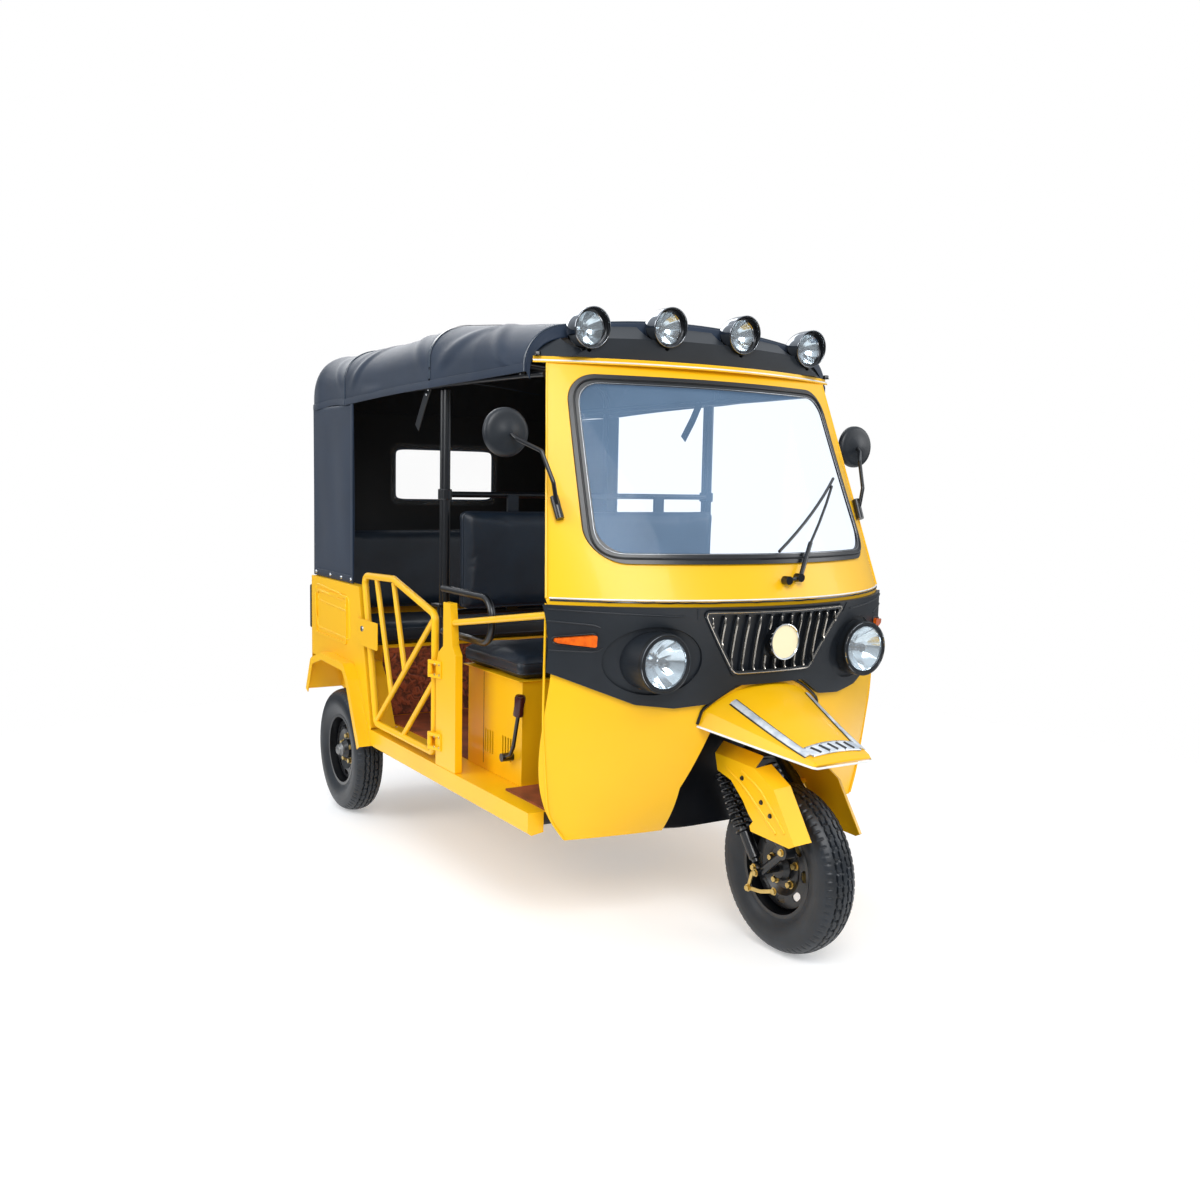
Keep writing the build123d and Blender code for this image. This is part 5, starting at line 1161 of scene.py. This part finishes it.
class RICKSHAW_OT_front_fork(bpy.types.Operator):
    """Wind the coil springs and fit the ribs, bolts and brake lever of the front fork"""
    bl_idname = "rickshaw.front_fork"
    bl_label = "Front fork"

    def execute(self, context):
        length = float(np.linalg.norm(SPRING_FOOT - SPRING_TOP))
        axis = (SPRING_FOOT - SPRING_TOP) / length
        coil = COIL_SHARE * length
        t = np.linspace(0, 1, 30 * COIL_TURNS)[:, None]
        turn = 2 * np.pi * COIL_TURNS * t
        side = np.array((1.0, 0, 0))
        up = np.cross(side, axis)
        coils, dampers = [], []
        for x in (-0.088, 0.088):
            top = SPRING_TOP + (x, 0, 0)
            wound = (top + axis * (0.010 + (coil - 0.016) * t)
                     + COIL_RADIUS * (np.cos(turn) * side + np.sin(turn) * up))
            coils.append(carried(wound, circle(COIL_WIRE, 8), axis))
            dampers.append(turned([(0.0, 0.0005), (0.0, 0.019), (0.004, 0.0235), (0.008, 0.0235),
                                   (0.010, 0.0095),
                                   (coil, 0.0095), (coil + 0.001, 0.0250), (coil + 0.007, 0.0262),
                                   (coil + 0.010, 0.0170), (length - 0.014, 0.0165), (length - 0.010, 0.0115),
                                   (length - 0.002, 0.0110), (length - 0.002, 0.0005)], top, axis, 28))
        put("fork_coils", *joined(*coils), "black_spring", "steering", replaced=("fork_springs",))
        put("fork_dampers", *joined(*dampers), "black_frame_paint", "steering", 45)
        ribs, heads = [], []
        for out in SIDES:
            start = out * 0.4
            for run in ([(-0.925, 0.508), (-1.010, 0.470), (-1.150, 0.374)],
                        [(-0.995, 0.512), (-1.075, 0.482), (-1.185, 0.384)]):
                path = evened(eased([(start, y, z) for y, z in run], 0.03), 0.008)
                path, _ = landed(["fork_covers"], path, (-out, 0, 0), -0.0004)
                ribs.append(carried(path, strip(0.010, 0.0012, 0.0018), (out, 0, 0)))
            for y, z in ((-1.000, 0.494), (-1.085, 0.446), (-1.124, 0.418)):
                heads.append(frame_at(landed(["fork_covers"], [(start, y, z)], (-out, 0, 0))[0][0],
                                      (out, 0, 0)))
        put("fork_cover_ribs", *joined(*ribs), "yellow_paint", "steering")
        put("fork_cover_bolts", *repeated(*hex_head(0.010, 0.005), heads), "black_frame_paint", "steering")
        gold = []
        for out in SIDES:
            gold.append(frame_at((out * 0.1045, -1.156, 0.323), (out, 0, 0)))
            gold.append(frame_at((out * 0.1115, -1.060, 0.240), (out, 0, 0)))
            gold.append(frame_at((out * 0.0985, -1.036, 0.246), (out, 0, 0)))
        lever = evened([(-0.101, -1.036, 0.232), (-0.101, -1.020, 0.184), (-0.101, -1.075, 0.190),
                        (-0.101, -1.131, 0.208)], 0.006)
        gold.append(frame_at((-0.104, -1.020, 0.184), (-1, 0, 0)))
        gold.append(frame_at((-0.104, -1.131, 0.208), (-1, 0, 0)))
        put("fork_bolts", *repeated(*hex_head(0.015, 0.008), gold), "zinc_plate", "steering")
        put("brake_lever", *carried(lever, strip(0.011, 0.004), (-1, 0, 0)), "zinc_plate", "steering")
        return {"FINISHED"}


# --- wheel hubs ---------------------------------------------------------------------
class RICKSHAW_OT_hubs(bpy.types.Operator):
    """Fit hub caps, wheel nuts and valves to the three rims"""
    bl_idname = "rickshaw.hubs"
    bl_label = "Hubs"

    def execute(self, context):
        angle = np.linspace(0, 2 * np.pi, 5, endpoint=False) + 0.3
        for body, (_, rim, centre, out) in WHEELS.items():
            starts = [(centre[0] + out * 0.4, centre[1] + 0.052 * math.cos(a),
                       centre[2] + 0.052 * math.sin(a))
                      for a in angle]
            seats, _ = landed([rim], starts, (-out, 0, 0), -0.0006)
            nuts = [frame_at(seat, (out, 0, 0)) for seat in seats]
            put(f"{rim}_nuts", *repeated(*hex_head(0.017, 0.014), nuts), "zinc_plate", body)
            valve_start = (centre[0] + out * 0.4, centre[1] - 0.030, centre[2] + 0.098)
            seat = landed([rim], [valve_start], (-out, 0, 0), -0.001)[0][0]
            put(f"{rim}_valve", *turned([(0, 0.0045), (0.012, 0.0042), (0.014, 0.003), (0.026, 0.003),
                                         (0.027, 0.0004)],
                                        seat, (out, 0, 0), 12), "black_rubber", body)
            if body != "front_wheel":
                hub = landed([rim, "rear_axle"], [(centre[0] + out * 0.4, centre[1], centre[2])],
                             (-out, 0, 0),
                             -0.001)[0][0]
                cap = [(0.0, 0.026), (0.006, 0.0255), (0.010, 0.022), (0.018, 0.020), (0.022, 0.015),
                       (0.024, 0.0006)]
                put(f"{rim}_cap", *turned(cap, hub, (out, 0, 0), 32), "cast_alloy", body)
        return {"FINISHED"}


# --- cab and body trim --------------------------------------------------------------
class RICKSHAW_OT_body_trim(bpy.types.Operator):
    """Roll the edges and emboss the sides of the body, and fit hinge screws, straps and box seams"""
    bl_idname = "rickshaw.body_trim"
    bl_label = "Body trim"

    def execute(self, context):
        edges, beads, screws, straps, rivets, seams = [], [], [], [], [], []
        for side in SIDES:
            upper = [(side * 0.5145, -0.5565, 1.636), (side * 0.6115, -0.7465, 0.990)]
            lower = [(side * 0.6115, -0.746, 0.975), (side * 0.6100, -0.736, 0.640),
                     (side * 0.5810, -0.721, 0.374),
                     (side * 0.5400, -0.740, 0.310)]
            edges.append(carried(evened(upper, 0.03), circle(0.0070, 8), (0, 1, 0)))
            edges.append(carried(evened(eased(lower, 0.05), 0.02), circle(0.0070, 8), (0, 1, 0)))
            for corners in ([(1.200, 0.864), (0.806, 0.840), (0.796, 0.679), (1.177, 0.689)],
                            [(1.168, 0.842), (0.836, 0.822), (0.833, 0.786), (1.166, 0.800)]):
                loop = evened(eased([(side * 1.2, y, z) for y, z in corners], 0.02, close=True), 0.012, True)
                path, _ = landed(["rear_tub"], loop, (-side, 0, 0), -0.0006)
                beads.append(carried(path, strip(0.009, 0.0012, 0.0022), (side, 0, 0), close=True))
            starts = [(side * 1.2, y, z) for y in (-0.052, -0.030) for z in (0.434, 0.468, 0.672, 0.706)]
            places, _ = landed(["gate_hinges"], starts, (-side, 0, 0), -0.0004)
            screws += [frame_at(place, (side, 0, 0)) for place in places]
            strap = evened([(side * 0.556, 0.168, 1.610), (side * 0.558, 0.215, 1.545),
                            (side * 0.556, 0.272, 1.474)], 0.01)
            straps.append(carried(strap, strip(0.036, 0.0032), (side, 0, 0)))
            rivets += [frame_at((side * 0.5600, 0.176, 1.598), (side, 0, 0)),
                       frame_at((side * 0.5610, 0.188, 1.582), (side, 0, 0))]
            seams.append(carried([(side * 0.4948, -0.137, 0.392), (side * 0.4948, -0.137, 0.54),
                                  (side * 0.4948, -0.137, 0.690)],
                                 strip(0.0022, 0.0008), (side, 0, 0)))
        put("cowl_rolled_edges", *joined(*edges), "yellow_paint")
        put("tub_beads", *joined(*beads), "yellow_paint")
        put("hinge_screws", *repeated(*screw_head(0.009, 0.003), screws), "zinc_plate")
        put("canopy_straps", *joined(*straps), "black_rubber")
        put("strap_rivets", *repeated(*screw_head(0.010, 0.003), rivets), "chrome_shell")
        put("seat_box_seams", *joined(*seams), "black_rubber")
        return {"FINISHED"}


class RICKSHAW_OT_cab_fittings(bpy.types.Operator):
    """Fit the windscreen's bead and a bright line along its gasket that is a painted highlight, the lever's
    knob and the clamps of the visor
    """
    bl_idname = "rickshaw.cab_fittings"
    bl_label = "Cab fittings"

    def execute(self, context):
        gasket = eased([(-0.498, -1.4, 1.100), (0.498, -1.4, 1.100), (0.459, -1.4, 1.594),
                        (-0.459, -1.4, 1.594)],
                       0.075, 9, True)
        path, out = landed(["windscreen_gasket"], evened(gasket, 0.012, True), (0, 1, 0), -0.0004)
        put("gasket_bead", *carried(path, strip(0.007, 0.0012, 0.0034), out, True), "black_rubber")
        # a thin bright strip along the gasket's inner edge: painted highlight on the rubber
        inner = eased([(-0.4865, -1.4, 1.1115), (0.4865, -1.4, 1.1115), (0.448, -1.4, 1.5825),
                       (-0.448, -1.4, 1.5825)],
                      0.068, 9, True)
        path, out = landed(["windscreen_gasket"], evened(inner, 0.012, True), (0, 1, 0), -0.0002)
        put("gasket_highlight_line", *carried(path, strip(0.0022, 0.0010, 0.0004), out, True), "steel_rod")
        knob = [(0.0, 0.0005), (0.0, 0.0150), (0.004, 0.0160), (0.030, 0.0150), (0.056, 0.0170),
                (0.063, 0.0150), (0.067, 0.0006)]
        put("lever_knob", *turned(knob, (-0.524, -0.4285, 0.601), (0, -0.013, 0.060), 28), "maroon_knob")
        clamps = [frame_at((side * 0.540, -0.548, 1.6545), (0, 0, 1), (0, 1, 0)) for side in SIDES]
        put("visor_clamps", *repeated(*hex_head(0.016, 0.012), clamps), "black_frame_paint")
        return {"FINISHED"}


GATE_X = 0.6                    # the gate tubes' own plane
GATE_BAR = 0.0191               # a hair over the solid bar's 19 mm, so that the two skins never coincide
LOCK_PLACE = (0.640, 0.742)     # y and z on the latch plate


class RICKSHAW_OT_gate_fittings(bpy.types.Operator):
    """Fit each gate's lock and the end of its rearmost bar, and the clamps of the cab pillars"""
    bl_idname = "rickshaw.gate_fittings"
    bl_label = "Gate fittings"

    def execute(self, context):
        for side, gate in zip(SIDES, [f"gate_{'left' if side > 0 else 'right'}" for side in SIDES]):
            seat = landed([gate], [(side * 1.2, *LOCK_PLACE)], (-side, 0, 0))[0][0]
            lock = [(0, 0.0005), (0, 0.011), (0.004, 0.010), (0.005, 0.006), (0.006, 0.0004)]
            put(f"{gate}_lock", *turned(lock, seat, (side, 0, 0), 24), "steel_rod", gate)
            # the solid bar stops about 20 mm below the top rail: its line is carried on to the rail's middle
            end = [(side * GATE_X, y, z) for y, z in ((0.5244, 0.900), (0.5332, 0.9245), (0.5408, 0.9457))]
            put(f"{gate}_bar_end", *carried(end, circle(GATE_BAR, 24), (side, 0, 0)), "yellow_paint", gate)
        clamps = [turned([(-0.017, 0.0165), (-0.015, 0.0180), (0.015, 0.0180), (0.017, 0.0165)],
                         (side * 0.537, y, z), (0, 0, 1), 24) for side in SIDES for y in (0.072, 0.097)
                  for z in (1.252, 0.862)]
        put("pillar_clamps", *joined(*clamps), "black_frame_paint")
        return {"FINISHED"}


TAIL_LENS_X = (0.537, 0.599)    # inside the outer face of each tail lamp
TAIL_LENS_Y = (1.290, 1.3015)
TAIL_LENSES = {"red_lens": (0.672, 0.756), "amber_lens": (0.764, 0.848)}


class RICKSHAW_OT_tail_lenses(bpy.types.Operator):
    """Set a red lens and an amber lens into the face of each tail lamp"""
    bl_idname = "rickshaw.tail_lenses"
    bl_label = "Tail lenses"

    def execute(self, context):
        for surface, (low, high) in TAIL_LENSES.items():
            shapes = []
            for side in SIDES:
                inner, outer = sorted(side * x for x in TAIL_LENS_X)
                shapes.append(pad_block((inner, TAIL_LENS_Y[0], low), (outer, TAIL_LENS_Y[1], high),
                                        0.0, 0.005, None, 12))
            put(f"tail_{surface}", *joined(*shapes), surface)
        return {"FINISHED"}


# --- stage --------------------------------------------------------------------------
CAMERA_PLACE = (-2.14828, -3.50671, 1.31187)
CAMERA_AZIMUTH, CAMERA_ELEVATION, CAMERA_ROLL = -31.75, 5.868, 1.157
FOCAL_SHARE = 1175.6 / 1200


class RICKSHAW_OT_stage(bpy.types.Operator):
    """Set the pale floor, the soft lamps, the plain world and the camera"""
    bl_idname = "rickshaw.stage"
    bl_label = "Stage"

    def execute(self, context):
        scene = context.scene
        scene.view_settings.view_transform = "Standard"
        angle = math.radians(CAMERA_AZIMUTH), math.radians(CAMERA_ELEVATION), math.radians(CAMERA_ROLL)
        back = Vector((math.sin(angle[0]) * math.cos(angle[1]), -math.cos(angle[0]) * math.cos(angle[1]),
                       math.sin(angle[1])))
        side = (-back).cross(Vector((0, 0, 1))).normalized()
        up = side.cross(-back)
        right = math.cos(angle[2]) * side + math.sin(angle[2]) * up
        over = math.cos(angle[2]) * up - math.sin(angle[2]) * side
        lens = bpy.data.cameras.new("Camera")
        lens.sensor_width, lens.lens = 36.0, 36.0 * FOCAL_SHARE
        lens.clip_start, lens.clip_end = 0.05, 200
        camera = bpy.data.objects.new("Camera", lens)
        scene.collection.objects.link(camera)
        matrix = np.eye(4)
        matrix[:3, 0], matrix[:3, 1], matrix[:3, 2], matrix[:3, 3] = right, over, back, CAMERA_PLACE
        camera.matrix_world = Matrix(matrix.tolist())
        scene.camera = camera

        world = bpy.data.worlds.new("Plain studio")
        scene.world = world
        world.use_nodes = True
        tree = world.node_tree
        tree.nodes.clear()
        ray = add_node(tree, "ShaderNodeLightPath")
        seen = add_node(tree, "ShaderNodeMath", {0: ray.outputs["Is Camera Ray"],
                                                 1: ray.outputs["Is Transmission Ray"]}, operation="MAXIMUM")
        lit = add_node(tree, "ShaderNodeBackground", {"Color": srgb("#E8F0F8"), "Strength": 0.66})
        white = add_node(tree, "ShaderNodeBackground", {"Color": srgb("#FFFFFF"), "Strength": 1.0})
        way = add_node(tree, "ShaderNodeTexCoord")
        height = add_node(tree, "ShaderNodeSeparateXYZ", {0: way.outputs["Object"]})
        tone = add_node(tree, "ShaderNodeMapRange", {"Value": height.outputs["Z"], "From Min": -0.1,
                                                     "From Max": 0.7,
                                                     "To Min": 0.16, "To Max": 1.1})
        mirrored = add_node(tree, "ShaderNodeBackground", {"Color": srgb("#EDF3FA"),
                                                           "Strength": tone.outputs[0]})
        mix = add_node(tree, "ShaderNodeMixShader", {0: ray.outputs["Is Glossy Ray"], 1: lit.outputs[0],
                                                     2: mirrored.outputs[0]})
        mix = add_node(tree, "ShaderNodeMixShader", {0: seen.outputs[0], 1: mix.outputs[0],
                                                     2: white.outputs[0]})
        add_node(tree, "ShaderNodeOutputWorld", {"Surface": mix.outputs[0]})

        for name, place, size, watts in (("key", (-1.8, -4.2, 3.8), 2.4, 150),
                                         ("fill", (4.0, -2.5, 2.6), 2.5, 55),
                                         ("side", (-4.6, 0.6, 2.8), 2.6, 95),
                                         ("back", (0.5, 4.2, 3.6), 3.0, 90)):
            lamp = bpy.data.lights.new(name, "AREA")
            lamp.size, lamp.energy = size, watts
            lit_from = bpy.data.objects.new(name, lamp)
            scene.collection.objects.link(lit_from)
            lit_from.location = place
            lit_from.rotation_euler = (Vector((0, 0, 0.8)) - Vector(place)).to_track_quat("-Z",
                                                                                          "Y").to_euler()

        angle = np.linspace(0, 2 * np.pi, 96, endpoint=False)
        ring = np.stack([np.cos(angle), np.sin(angle), 0 * angle], 1)
        points = (np.linspace(0.02, 3.4, 8)[:, None, None] * ring).reshape(-1, 3)
        mesh = bpy.data.meshes.new("Floor")
        mesh.from_pydata(points.tolist(), [], grid(8, 96, False, True).tolist() + [list(range(96))])
        floor = bpy.data.objects.new("Floor", mesh)
        scene.collection.objects.link(floor)
        made, tree, shader = start_finish("Pale studio floor", srgb("#E4E4E4"), 0.95,
                                          Emission_Color=srgb("#FFFFFF"),
                                          Emission_Strength=0.34, Specular_IOR_Level=0.0)
        place = place_of(tree)
        reach = add_node(tree, "ShaderNodeVectorMath", {0: place}, operation="LENGTH")
        fade = add_node(tree, "ShaderNodeMapRange", {"Value": reach.outputs["Value"], "From Min": 2.1,
                                                     "From Max": 3.3})
        clear = add_node(tree, "ShaderNodeBsdfTransparent")
        mix = add_node(tree, "ShaderNodeMixShader", {0: fade.outputs[0], 1: shader.outputs[0],
                                                     2: clear.outputs[0]})
        tree.links.new(mix.outputs[0], tree.nodes["Material Output"].inputs["Surface"])
        mesh.materials.append(made)
        return {"FINISHED"}


# --- panel and registration ---------------------------------------------------------
OPERATORS = (
    RICKSHAW_OT_stage, RICKSHAW_OT_finishes, RICKSHAW_OT_tyres, RICKSHAW_OT_canopy, RICKSHAW_OT_curtain,
    RICKSHAW_OT_seats, RICKSHAW_OT_headlamps, RICKSHAW_OT_roof_lamps, RICKSHAW_OT_nose_trim,
    RICKSHAW_OT_beak_trim, RICKSHAW_OT_front_fork, RICKSHAW_OT_hubs, RICKSHAW_OT_body_trim,
    RICKSHAW_OT_cab_fittings, RICKSHAW_OT_gate_fittings, RICKSHAW_OT_tail_lenses,
)


class RICKSHAW_PT_panel(bpy.types.Panel):
    """Lists the settings and the pieces"""
    bl_idname = "RICKSHAW_PT_panel"
    bl_label = "Rickshaw"
    bl_space_type = "VIEW_3D"
    bl_region_type = "UI"
    bl_category = "Rickshaw"

    def draw(self, context):
        for group in (context.scene.rickshaw_colours, context.scene.rickshaw_sizes):
            for key in group.__annotations__:
                self.layout.prop(group, key)
        for operator in OPERATORS:
            self.layout.operator(operator.bl_idname)


def register():
    for item in (RickshawColours, RickshawSizes, *OPERATORS, RICKSHAW_PT_panel):
        bpy.utils.register_class(item)
    bpy.types.Scene.rickshaw_colours = bpy.props.PointerProperty(type=RickshawColours)
    bpy.types.Scene.rickshaw_sizes = bpy.props.PointerProperty(type=RickshawSizes)


def unregister():
    del bpy.types.Scene.rickshaw_sizes, bpy.types.Scene.rickshaw_colours
    for item in (RICKSHAW_PT_panel, *reversed(OPERATORS), RickshawSizes, RickshawColours):
        bpy.utils.unregister_class(item)


def main():
    register()
    for operator in OPERATORS:
        group, name = operator.bl_idname.split(".")
        getattr(getattr(bpy.ops, group), name)()


if __name__ == "__main__":
    main()
